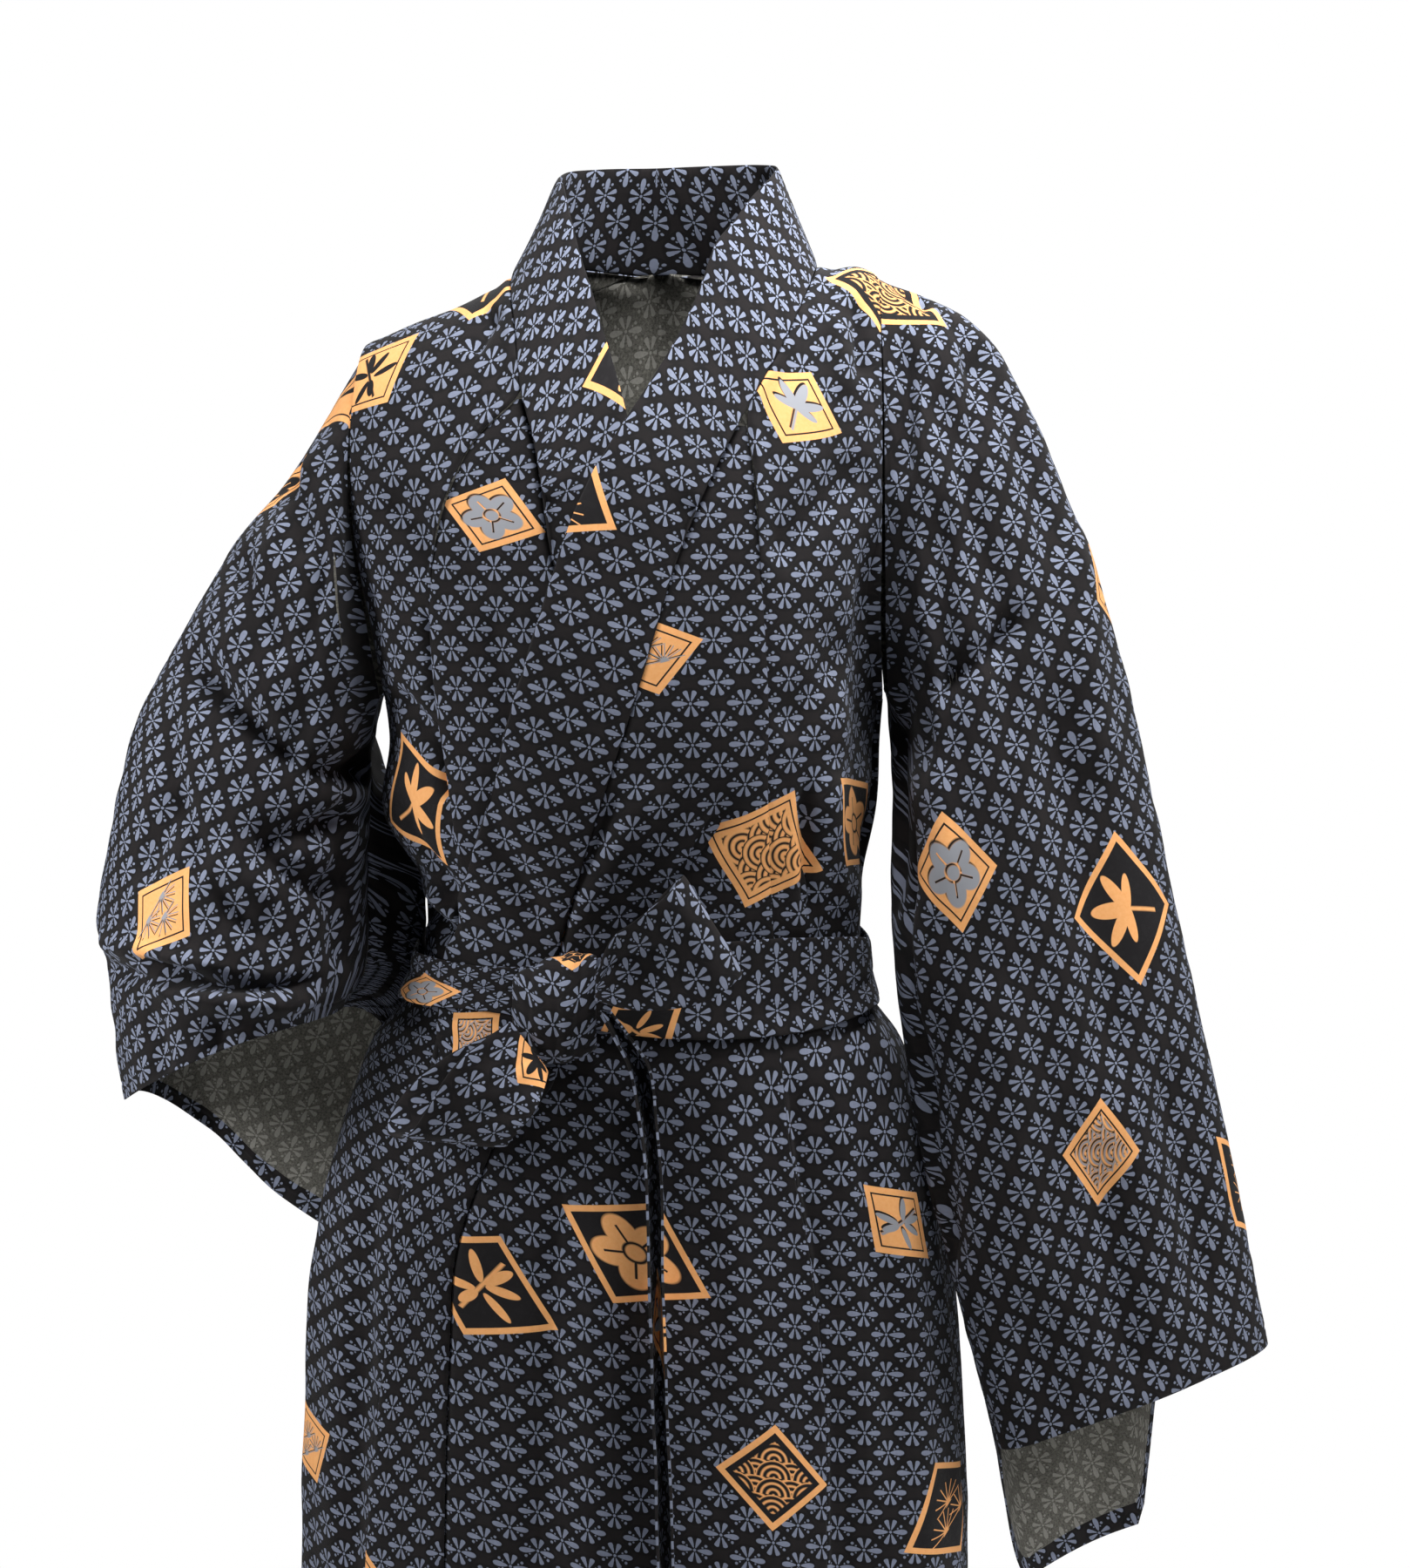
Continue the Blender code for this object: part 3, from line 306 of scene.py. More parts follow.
def waves(x, y):
    # overlapping fans of rings, as on old cotton stencils
    fan = 0.52
    ax, ay = repeat(x, fan), (y + 10 * fan).calc("MODULO", fan / 2) - fan / 4
    bx = repeat(x + fan / 2, fan)
    near, far = root(ax * ax + (ay + fan / 4) ** 2), root(bx * bx + (ay + fan / 4) ** 2)
    inNear = near < fan / 2
    ring = far + (near - far) * inNear
    lines = below(abs(repeat(ring, fan / 6)), fan / 30, 0.02)
    return lines * below(abs(x) + abs(y), 0.56, 0.02)


def pineTuft(x, y):
    tufts = []
    for px, py in ((0, 0.10), (-0.21, -0.20), (0.21, -0.20)):
        dx, dy = x - px, y - py
        angle, radius = dy.calc("ARCTAN2", dx), root(dx * dx + dy * dy)
        needles = below(abs((angle * 7).calc("SINE")) * radius, 0.055, 0.03)
        tufts.append(needles * (radius < 0.29) * (dy > -0.03))
    return anyOf(tufts)


motifs = [plumBlossom, bambooSprig, mapleLeaf, waves, pineTuft]


def printedCotton(name, badges=()):
    finish = Finish(name)
    place = finish.node("UVMap", {"uv_map": "print"}, {})
    weft, warp, _ = finish.split(place)
    weft, warp = weft * 1000, warp * 1000
    wander = finish.node("TexNoise", {}, {"Vector": place, "Scale": 900.0, "Detail": 2.0})
    halo, petals = flowerMasks(weft + (wander - 0.5) * 0.35, warp + (wander - 0.5) * 0.25)
    broad = finish.node("TexNoise", {}, {"Vector": place, "Scale": 38.0, "Detail": 3.0})
    slub = finish.node("TexNoise", {}, {"Vector": place, "Scale": 420.0, "Detail": 4.0, "Roughness": 0.7})
    stops = [(flower["wornFrom"], (0, 0, 0, 1)), (flower["wornTo"], (1, 1, 1, 1))]
    worn = finish.node("ValToRGB", {"stops": stops}, {0: broad * 0.6 + slub * 0.4})
    ground = finish.mix(worn, flower["ground"], flower["groundLight"])
    colour = finish.mix(halo * 0.85, ground, flower["halo"])
    tone = finish.mix(slub * 0.9 + 0.05, flower["petalDull"], flower["petal"])
    colour = finish.mix(petals, colour, tone)
    if badges:
        colour = addBadges(finish, colour, place, badges, slub)
    return dress(finish, colour, petals * -0.06 + slub * 0.10 + weave["roughness"], place)


def addBadges(finish, colour, place, badges, slub):
    fill, frame, marks = None, None, {}
    for u, v, turn, long, high, kind, motif in badges:
        # texture mapping takes off shift, turn and size, so that a badge's corners lie at -1 and 1
        values = {
            "Vector": place,
            "Location": (u / 1000, v / 1000, 0),
            "Rotation": (0, 0, float(np.radians(turn))),
            "Scale": (long / 1000, high / 1000, 1),
        }
        spot = finish.node("Mapping", {"vector_type": "TEXTURE"}, values)
        size = finish.node("VectorMath", {"operation": "ABSOLUTE"}, {0: spot})
        reach = finish.node("VectorMath", {"operation": "DOT_PRODUCT"}, {0: size, 1: (1, 1, 0)}, 1)
        slope = (1 / long**2 + 1 / high**2) ** 0.5  # turns the reach into millimetres from the edge
        inside = below(reach, 1, 0.12 * slope)
        if kind == "black":
            bare = below(reach, 1 - badge["border"] * slope, 0.15 * slope)
        else:
            bare = below(abs(reach - (1 - badge["inset"] * slope)), badge["line"] / 2 * slope, 0.12 * slope)
        spot = finish.node("VectorMath", {"operation": "SCALE"}, {0: spot, "Scale": inside})
        bare = bare * inside
        if (kind, motif) in marks:
            drawn = marks[kind, motif]
            spot = finish.node("VectorMath", {"operation": "ADD"}, {0: drawn[0], 1: spot})
            marks[kind, motif] = spot, larger(drawn[1], inside)
        else:
            marks[kind, motif] = spot, inside
        fill = inside if fill is None else larger(fill, inside)
        frame = bare if frame is None else larger(frame, bare)
    orange = finish.mix(slub, badge["orange"], badge["orangeLight"])
    badgeColour = finish.mix(frame, orange, badge["black"])
    for (kind, motif), (spot, inside) in marks.items():
        # the motif stands upright in the badge's middle
        a, b, _ = finish.split(spot)
        a, b = a * badge["motifSize"], b * badge["motifSize"]
        mask = motifs[motif](a, b) * inside
        ink = {"black": orange, "orange": badge["black"], "silver": badge["silver"]}[kind]
        badgeColour = finish.mix(mask, badgeColour, ink)
        if kind == "silver":
            edge = motifs[motif](a + 0.035, b - 0.02) * inside
            badgeColour = finish.mix(edge * (1 - mask), badgeColour, badge["black"])
    return finish.mix(fill, colour, badgeColour)


def dress(finish, colour, roughness, place):
    # fine crossed threads and a soft crumple
    weft, warp, _ = finish.split(place)
    across, along = [(way * (1000 / weave["thread"] * 6.283)).calc("SINE") for way in (weft, warp)]
    over = across * along
    crumple = finish.node("TexNoise", {}, {"Vector": place, "Scale": 55.0, "Detail": 4.0, "Roughness": 0.55})
    height = over * weave["depth"] + crumple * weave["crumple"]
    bump = finish.node("Bump", {}, {"Height": height, "Strength": weave["strength"], "Distance": 1.0})
    finish.set("Base Color", colour)
    finish.set("Roughness", roughness)
    finish.set("Normal", bump)
    finish.set("Sheen Weight", weave["sheen"])
    finish.set("Sheen Roughness", weave["sheenRoughness"])
    finish.set("Specular IOR Level", weave["specular"])
    return finish.material


def cottonReverse(name):
    # the print's reverse: dull grey, with the flowers showing through faintly
    finish = Finish(name)
    place = finish.node("UVMap", {"uv_map": "print"}, {})
    weft, warp, _ = finish.split(place)
    halo, petals = flowerMasks(weft * 1000, warp * 1000)
    grain = finish.node("TexNoise", {}, {"Vector": place, "Scale": 700.0, "Detail": 5.0, "Roughness": 0.8})
    ground = finish.mix((grain - 0.35) * 3, reverse["dark"], reverse["ground"])
    colour = finish.mix(petals * (grain * 1.4 + 0.2), ground, reverse["ghost"])
    return dress(finish, colour, grain * 0.1 + reverse["roughness"], place)


# single sizes are in metres, and the rows of tables in millimetres
# the body: its outline at each height, the line over the shoulders, and its folds
body = {
    "cloth": 0.0009,
    "skirtTop": -0.40,
    "skirtOver": 0.04,
    "seamCalm": (0.004, 0.012),  # creases and small waves fade over these distances from a seam
    "skirtCalm": 0.5,  # takes this share off creases below the belt, where layers lie close
    "foldRadius": 150,  # millimetres, for widths of folds round the body
    "hemRows": 5,  # rows of quads that the turned hem covers
    "columns": 84,
    "okumiColumns": 44,
    "ripple": (0.055, 0.0006),  # length and height of the cloth's small waves
    "collarFrom": -0.119,  # above this height the collar is sewn to the body, and below it to the overlap
    "collarSeam": (0.0014, 0.0022),  # depth and width of the dip along the seam
    "okumiSeam": (0.0016, 0.0022),
    "okumiPrint": (0.011, 0.007),  # how far the overlap's print is shifted
    "neckFrom": -0.185,  # above this height the fronts rise towards the collar's seam
    "neckProud": 0.0035,
    "hem": -0.870,
    "armpit": -0.250,
    "roll": -0.170,  # where the cloth starts to turn over the shoulders
    "square": 2.3,
    "frontRoll": 2.0,
    "backRoll": 4.0,
    "wrap": 0.0055,  # how far the upper front stands off the lower one
    "levels": Sizes("height right left front back", [
        (-870, -192, 198, 138, 132),
        (-680, -189, 194, 129, 126),
        (-570, -182, 184, 121, 119),
        (-480, -163, 166, 112, 106),
        (-445, -149, 152, 106, 97),
        (-420, -129, 134.5, 100, 87),
        (-398, -120.5, 130.5, 97, 82),
        (-375, -119, 129.5, 98, 81),
        (-350, -122, 132, 101, 83),
        (-315, -142, 139, 112, 90),
        (-270, -138, 141, 121, 96),
        (-220, -148, 146, 124, 100),
        (-170, -160, 152, 120, 101),
        (-110, -172, 160, 113, 99),
        (0, -180, 170, 104, 96),
    ]),
    "shoulder": Sizes("x height", [
        (-200, -70),
        (-150, -50),
        (-101, -30),
        (-66, -15.5),
        (20, 12),
        (106, -10),
        (128, -7),
        (142, -14),
        (200, -35),
    ]),
    "armholes": Sizes("height right left", [
        (-250, -139.5, 141.5),
        (-210, -144.5, 139),
        (-160, -153, 138.5),
        (-110, -155, 138.5),
        (-50, -152.5, 138),
        (0, -149, 137.5),
    ]),
    "backSeam": Sizes("height x", [(-870, 4), (-400, 3), (-170, 10), (0, 20)]),
    # turn from the front and height at the top and the bottom, width, depth: troughs are negative
    "folds": [
        (-8, -455, -14, -950, 12, -6), (-3, -470, -8, -950, 18, 4), (26, -420, 34, -950, 20, -5),
        (48, -430, 55, -950, 18, 4.5), (76, -440, 82, -950, 20, -5), (-52, -440, -58, -950, 18, -4.5),
        (-80, -460, -84, -950, 20, 5), (104, -430, 108, -950, 20, 6), (128, -440, 130, -950, 22, -7),
        (152, -420, 156, -950, 20, 6), (-176, -440, -174, -950, 20, -6),
        (-150, -430, -154, -950, 22, 6.5), (-126, -440, -130, -950, 20, -6.5),
        (-104, -430, -106, -950, 18, 5), (-30, -250, -22, -375, 12, -4), (60, -200, 52, -375, 14, -4.5),
        (42, -280, 40, -380, 12, 3.5), (-62, -290, -50, -385, 11, -4.5), (150, -240, 156, -375, 14, -5),
        (-165, -260, -160, -375, 14, 4.5), (-135, -230, -140, -375, 16, -5),
        (120, -270, 124, -380, 14, 4),
    ],
}
neck = {"middle": 0.020, "half": 0.086, "reach": 0.080, "back": -0.075}

# the fronts' seams, seen from the front
leftSeams = Sizes("height collar okumi", [
    (-870, -105, 112),
    (-730, -102, 109),
    (-600, -98, 105),
    (-545, -94, 98),
    (-500, -79, 89),
    (-440, -54, 81),
    (-380, -38, 77),
    (-320, -22.5, 74),
    (-280, -10, 73),
    (-240, 3, 73),
    (-200, 15, 71),
    (-160, 27, 68.5),
    (-120, 44, 65.5),
    (-84, 63, 63),
    (-48, 84, 84),
    (-13, 102, 102),
    (-4, 106.5, 106.5),
])
rightSeams = Sizes("height collar okumi", [
    (-870, 62, -110),
    (-600, 60, -104),
    (-500, 57, -100),
    (-400, 46, -95),
    (-350, 36, -95),
    (-300, 20, -98),
    (-250, -3, -105),
    (-205, -24, -108),
    (-165, -40, -106),
    (-127, -46, -96),
    (-100, -51, -82),
    (-75, -58, -58),
    (-47, -61.2, -61.2),
    (-15.5, -66, -66),
    (-4, -66, -66),
])


def bodyOutline(height):
    right, left = body["levels"].read("right", height), body["levels"].read("left", height)
    return (right + left) / 2, (left - right) / 2


def rollShare(height):
    return np.clip((height - body["roll"]) / -body["roll"], 0, 1)


def bodySurface(turn, height, face):
    # turn runs from -90 to 90 degrees, and face is 1 in front and -1 behind
    middle, half = bodyOutline(height)
    power = 2 / body["square"]
    across, ahead = np.sin(turn), np.maximum(np.cos(turn), 0)
    x = middle + half * np.sign(across) * np.abs(across) ** power
    roll = rollShare(height) * np.pi / 2
    square = np.where(face > 0, body["frontRoll"], body["backRoll"])
    deep = np.where(face > 0, -body["levels"].read("front", height), body["levels"].read("back", height))
    y = deep * ahead**power * np.maximum(np.cos(roll), 0) ** (2 / square)
    rise = body["shoulder"].read("height", x) - body["roll"]
    top = body["roll"] + rise * np.sin(roll) ** (2 / square)
    z = np.where(height > body["roll"], top, height)
    return np.stack([x, y, z], axis=-1)


def turnAt(x, height):
    middle, half = bodyOutline(height)
    share = np.clip(np.abs(x - middle) / half, 0, 1)
    return np.sign(x - middle) * np.arcsin(share ** (body["square"] / 2))


def levelAt(x, z):
    share = np.clip((z - body["roll"]) / (body["shoulder"].read("height", x) - body["roll"]), 0, 1)
    roll = np.arcsin(share ** (body["frontRoll"] / 2))
    return np.where(z > body["roll"], body["roll"] - body["roll"] * roll * 2 / np.pi, z)


def bodyNormal(turn, height, face):
    small = 0.004
    limit = np.pi / 2
    lowTurn, highTurn = np.clip(turn - small, -limit, limit), np.clip(turn + small, -limit, limit)
    lowHeight, highHeight = height - small / 4, np.minimum(height + small / 4, 0)
    roundIt = bodySurface(highTurn, height, face) - bodySurface(lowTurn, height, face)
    upIt = bodySurface(turn, highHeight, face) - bodySurface(turn, lowHeight, face)
    normal = np.cross(roundIt, upIt) * np.reshape(face, np.shape(face) + (1,))
    normal /= np.maximum(np.linalg.norm(normal, axis=-1, keepdims=True), 1e-12)
    sides = np.abs(np.abs(turn) - limit) < 1e-6
    flat = np.stack([np.sign(turn), 0 * turn, 0 * turn], axis=-1)
    return np.where(sides[..., None] & (height <= body["armpit"])[..., None], flat, normal)


def softRidge(beside, beyond, across, along, width, depth, bow=0.0, sharp=0.0):
    # a ridge or trough along one line, in millimetres; bow bends it, and sharp makes its far side steeper
    reach = np.hypot(across, along)
    share = (beside * across + beyond * along) / reach**2
    apart = (beside * along - beyond * across) / reach + bow * 4 * share * (1 - share)
    wide = width * (1 - sharp * (apart < 0))
    return depth / 1000 * np.exp(-((apart / wide) ** 2)) * fade(share / 0.25) * fade((1 - share) / 0.2)


def foldDepth(folds, girth, length, radius, pace=1):
    # radius and pace turn a turn and a place along into millimetres
    total = np.zeros(np.broadcast(girth, length).shape)
    for firstTurn, first, lastTurn, last, width, depth in folds:
        swing = (girth - np.radians(firstTurn) + np.pi) % (2 * np.pi) - np.pi
        across, along = np.radians(lastTurn - firstTurn) * radius, (last - first) * pace
        total += softRidge(swing * radius, (length - first) * pace, across, along, width, depth)
    return total


def creaseDepth(creases, spots, strength):
    # creases as seen from the front or the back: x and z at both ends, width, depth, bow, sharp
    total = np.zeros(spots.shape[:-1])
    across, up = spots[..., 0] * 1000, spots[..., 2] * 1000
    for x, z, lastX, lastZ, *shape in creases:
        total += softRidge(across - x, up - z, lastX - x, lastZ - z, *shape)
    return total * strength


def fullTurn(turn, face):
    return np.where(face > 0, turn, np.sign(turn) * np.pi - turn)


def overLift(turn, height):
    edge = np.radians(50 + 34 * fade((-0.200 - height) / 0.100))
    return body["wrap"] * fade((edge - turn) / np.radians(20)) * fade((-0.030 - height) / 0.060)


def bodyFolds(turn, height, face):
    return foldDepth(body["folds"], fullTurn(turn, face), height * 1000, body["foldRadius"])


def wornCloth(turn, height, face, lift=0.0):
    turn, height, face = np.broadcast_arrays(turn, height, face)
    normal = bodyNormal(turn, height, face)
    depth = bodyFolds(turn, height, face) + lift
    return bodySurface(turn, height, face) + normal * depth[..., None], normal


def frontCloth(x, z, over):
    height = levelAt(x, z)
    turn = turnAt(x, height)
    lift = overLift(turn, height) if over else 0.0 * turn
    return wornCloth(turn, height, np.ones_like(turn), lift)


# small uneven waves that any cloth has, from a few seeded sines over the print's own plane
def ripples(u, v, seed, size, height, count=14):
    draw = np.random.default_rng(seed)
    total = 0.0 * u
    for _ in range(count):
        angle, phase = draw.uniform(0, np.pi), draw.uniform(0, 2 * np.pi)
        length = size * draw.uniform(0.5, 1.6)
        wave = (u * np.cos(angle) + v * np.sin(angle)) * 2 * np.pi / length
        total = total + np.sin(wave + phase) * draw.uniform(0.5, 1.0)
    return total * height / count**0.5


def edgeShare(count, crowd=0.75):
    # shares from 0 to 1, closer together near both ends
    t = np.linspace(0, 1, count)
    return t * (1 - crowd) + t * t * (3 - 2 * t) * crowd


def gridNormals(grid, outward=1):
    across, along = np.gradient(grid, axis=1), np.gradient(grid, axis=0)
    normals = np.cross(across, along) * outward
    return normals / np.maximum(np.linalg.norm(normals, axis=-1, keepdims=True), 1e-12)


def runs(grid, axis):
    # how far each point lies along its row or column
    steps = np.linalg.norm(np.diff(grid, axis=axis), axis=-1)
    start = np.zeros_like(np.take(steps, [0], axis=axis))
    return np.concatenate([start, np.cumsum(steps, axis=axis)], axis=axis)


def lengthsAlong(line):
    return np.concatenate([[0], np.cumsum(np.linalg.norm(np.diff(line, axis=0), axis=1))])


def roundedEdges(share, power=8):
    # doubled cloth is thinner at its two folded edges
    return np.sqrt(np.clip(1 - (2 * share - 1) ** power, 0.02, 1))


def seamDip(distance, depth=0.0005, width=0.0020):
    return -depth * np.exp(-((distance / width) ** 2))


def sewPiece(name, grid, print2d, outward, thickness, badges, hems=()):
    # two skins and their edges from one grid of points; single cloth shows the print's reverse inside
    rows, columns = grid.shape[:2]
    normals = gridNormals(grid, outward)
    half = np.broadcast_to(np.asarray(thickness), (rows, columns))[..., None] / 2
    points = np.concatenate([(grid + normals * half).reshape(-1, 3), (grid - normals * half).reshape(-1, 3)])
    count = rows * columns
    index = np.arange(count).reshape(rows, columns)
    faces = np.stack([index[:-1, :-1], index[:-1, 1:], index[1:, 1:], index[1:, :-1]], axis=-1).reshape(-1, 4)
    rim = np.concatenate([index[0, :], index[1:, -1], index[-1, -2::-1], index[-2:0:-1, 0]])
    after = np.roll(rim, -1)
    edge = np.stack([after, rim, rim + count, after + count], axis=-1)
    if outward < 0:
        faces, edge = faces[:, ::-1], edge[:, ::-1]
    allFaces = np.concatenate([faces, faces[:, ::-1] + count, edge])
    mesh = bpy.data.meshes.new(name)
    mesh.from_pydata(points.tolist(), [], allFaces.tolist())
    layer = mesh.uv_layers.new(name="print")
    spots = np.tile(np.stack(np.broadcast_arrays(*print2d), axis=-1).reshape(-1, 2), (2, 1))
    corners = np.zeros(len(mesh.loops), dtype=np.int32)
    mesh.loops.foreach_get("vertex_index", corners)
    layer.data.foreach_set("uv", spots[corners].ravel())
    mesh.materials.append(printedCotton(name + "Cotton", badges))
    if hems:
        mesh.materials.append(reverseFinish)
        inner = np.ones((rows - 1, columns - 1), dtype=bool)
        for start, end in hems:
            inner[start:end] = False
        kinds = np.zeros(len(allFaces), int)
        kinds[len(faces):2 * len(faces)] = inner.ravel()
        mesh.polygons.foreach_set("material_index", kinds)
    mesh.shade_smooth()
    return addObject(name, mesh)


def declare(piece, node):
    # cloth has no joints, so each piece rides on the one body
    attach(piece, "root")
    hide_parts(node)


# rows lie closer together above the chest, and three more lie where the neck's opening starts at the back
bodyHeights = np.concatenate([np.linspace(body["hem"], -0.300, 150)[:-1], np.linspace(-0.300, 0.0, 100)])
bodyHeights = np.sort(np.append(bodyHeights, neck["back"] + np.array([-0.0001, 0.0001, 0.0008])))


def seamX(seams, name, height):
    x = seams.read(name, height)
    for _ in range(30):
        z = bodySurface(turnAt(x, height), height, np.ones_like(x))[..., 2]
        x = 0.5 * x + 0.5 * seams.read(name, z)
    return x


def neckX(side, height):
    rolled = np.maximum(np.cos(rollShare(height) * np.pi / 2), 0) ** (2 / body["backRoll"])
    reach = body["levels"].read("back", height) * rolled
    share = np.clip(reach / neck["reach"], 0, 1)
    opening = neck["middle"] + side * neck["half"] * np.sqrt(1 - share**2)
    return np.where(height <= neck["back"], body["backSeam"].read("x", height), opening)


def armholeTurn(side, height):
    edge = body["armholes"].read("left" if side > 0 else "right", height)
    return np.where(height > body["armpit"], turnAt(edge, height), side * np.pi / 2)


def printPlace(turn, height, face, slope=0.0):
    # the print runs straight: weft round the body from its middle, warp down from the shoulder line
    fan = np.linspace(-np.pi / 2, np.pi / 2, 181)
    rows = height[:, 0]
    ring = bodySurface(fan[None, :], rows[:, None], face * np.ones((len(rows), len(fan))))
    lengths = runs(ring, 1)
    lengths -= lengths[:, 90:91]
    weft = np.stack([np.interp(turn[row], fan, lengths[row]) for row in range(len(rows))])
    column = bodySurface(np.full(len(rows), turn.mean()), rows, np.full(len(rows), face))
    warp = runs(column[:, None], 0)[:, 0]
    warp = (warp - warp[-1])[:, None] * np.ones_like(weft)
    lean = fade((body["skirtTop"] - height) / 0.100) * slope
    return weft * np.ones_like(warp), warp + lean * weft


def panelFace(heights, edges, count, face, over, slope):
    # one face of a panel between two lines of turns, with its print and its distances from both seams
    first, last = edges
    turn = first[:, None] + (last - first)[:, None] * edgeShare(count)
    height = np.repeat(heights[:, None], count, axis=1)
    lift = overLift(turn, height) if over else 0.0 * turn
    spots, outwards = wornCloth(turn, height, np.full_like(turn, face), lift)
    weft, warp = printPlace(turn, height, face, slope)
    return spots, outwards, weft, warp * face, runs(spots, 1), runs(spots[:, ::-1], 1)[:, ::-1]


def hangDepth(look, creases, spots, weft, warp, inset):
    # creases and small waves of hanging cloth; inset is the distance from the nearest seam
    creaseCalm, rippleCalm = body["seamCalm"]
    onSkirt = fade((body["skirtTop"] - spots[..., 2]) / body["skirtOver"])
    depth = creaseDepth(creases, spots, look["creases"]) * fade(inset / creaseCalm)
    depth = depth * (1 - body["skirtCalm"] * onSkirt)
    return depth + ripples(weft, warp, look["seed"], *body["ripple"]) * fade(inset / rippleCalm)


def thereAndBack(first, second):
    # follows the first run, then the second one backwards; they share one row
    return np.concatenate([first, second[-2::-1]])


def bodyPanel(name, side, seams, over, look):
    frontEdge = turnAt(seamX(seams, "okumi", bodyHeights), bodyHeights)
    backEdge = turnAt(neckX(side, bodyHeights), bodyHeights)
    backEdge[-1] = frontEdge[-1]
    outerEdge = armholeTurn(side, bodyHeights)
    halves = []
    for face, innerEdge, creases in ((1, frontEdge, look["front"]), (-1, backEdge, look["back"])):
        front = face > 0
        edges, slope = (innerEdge, outerEdge), look["slope"] * front
        panel = panelFace(bodyHeights, edges, body["columns"], face, over and front, slope)
        spots, outwards, weft, warp, inner, outer = panel
        depth = hangDepth(look, creases, spots, weft, warp, np.minimum(inner, outer))
        depth += seamDip(inner) + seamDip(outer)
        collarLine, neckLine = (spots[spots[:, 0, 2] > body[low]][:, 0] for low in ("collarFrom", "neckFrom"))
        depth += seamDip(fromLine(spots, collarLine), *body["collarSeam"]) * front
        depth += proudEdge(spots) * fade(1 - fromLine(spots, neckLine) / 0.012)
        halves.append((spots + outwards * depth[..., None], weft, warp))
    grid, weft, warp = (thereAndBack(*pair) for pair in zip(*halves))
    hems = [(0, body["hemRows"]), (len(grid) - 1 - body["hemRows"], len(grid) - 1)]
    return sewPiece(name, grid, (weft, warp), side, body["cloth"], look["badges"], hems)


def okumiPanel(name, side, seams, top, over, look):
    heights = bodyHeights[bodyHeights <= top + 0.0005]
    edges = [turnAt(seamX(seams, seam, heights), heights) for seam in ("collar", "okumi")]
    panel = panelFace(heights, edges, body["okumiColumns"], 1, over, look["slope"])
    spots, outwards, weft, warp, inner, outer = panel
    depth = hangDepth(look, look["front"], spots, weft, warp, np.minimum(inner, outer))
    grid = spots + outwards * (depth + seamDip(inner, *body["okumiSeam"]) + seamDip(outer))[..., None]
    print2d = (weft + body["okumiPrint"][0], warp + body["okumiPrint"][1])
    return sewPiece(name, grid, print2d, side, body["cloth"], look["badges"], [(0, body["hemRows"])])


# the collar: one doubled band, flat on the fronts and standing round the neck
collar = {
    "thickness": 0.0024,
    "width": 0.058,
    "seed": 11,
    "ripple": (0.045, 0.0005),
    "liesBelow": -0.11,  # under this height it lies flat on the fronts
    "freeFrom": 0.300,  # along the seam from the back's middle, where it starts to stand free
    "freeOver": 0.055,
    "widths": Sizes("height left right", [
        (-870, 44, 56),
        (-700, 40, 56),
        (-580, 31, 56),
        (-500, 36, 56),
        (-420, 52, 57),
        (-300, 58, 58),
        (-160, 59, 57),
        (-90, 52, 50),
        (0, 52, 50),
    ]),
    # its free edge round the neck, by the distance along its seam from the middle of the back
    "edge": Sizes("along x y z", [
        (-310, 6, -104, -104),
        (-282, -3, -88, -74),
        (-246, -12.5, -72, -48),
        (-213, -20.5, -55, -22),
        (-180, -28.5, -36, 2),
        (-149.5, -34, -18, 22.5),
        (-122.5, -38.5, 1, 38.5),
        (-99.5, -41.5, 21, 43.5),
        (-71.5, -37, 44, 48),
        (-37, -18, 62, 50.5),
        (0, 14, 68, 51.5),
        (30, 43, 65, 52.5),
        (62.5, 70, 52, 52.5),
        (91, 81.5, 30, 50),
        (115, 77.5, 8.5, 43),
        (137.5, 66.8, -11.5, 31.5),
        (162, 57.5, -28, 18.5),
        (189.5, 46.5, -43, 4.2),
        (211.5, 39.5, -54.5, -15),
        (228, 34.5, -62, -28.4),
        (251.5, 26.2, -74, -45.5),
        (277, 15, -86, -67),
        (300, 2.9, -96, -88.6),
    ]),
    # place along from the left hem, lean, width, depth
    "creases": [
        (300, 0.5, 8, -1.2), (455, -0.6, 6, -1.8), (480, -0.3, 5, 1.2), (640, 0.4, 9, -1),
        (880, -0.5, 10, -1.2), (1030, 0.3, 9, -1.2), (1250, 0.4, 10, -1), (1560, -0.4, 9, -1.2),
    ],
    "badges": [
        (77, 757, 12, 44, 32, "black", 4), (79, 1368, 14, 44, 32, "black", 2),
        (32, 445, 120, 24, 17, "silver", 3), (50, 120, 70, 31, 22, "silver", 1),
        (40, 1800, 60, 31, 22, "silver", 0),
    ],
}


def fromLine(spots, line):
    # the distance from each spot to the nearest point of a line
    nearest = np.full(spots.shape[:-1], np.inf)
    for point in line:
        nearest = np.minimum(nearest, np.linalg.norm(spots - point, axis=-1))
    return nearest


def proudEdge(spots):
    # the neck's edge stands up a little, where the collar is sewn on
    return fade((spots[..., 2] - body["neckFrom"]) / 0.055) * body["neckProud"]


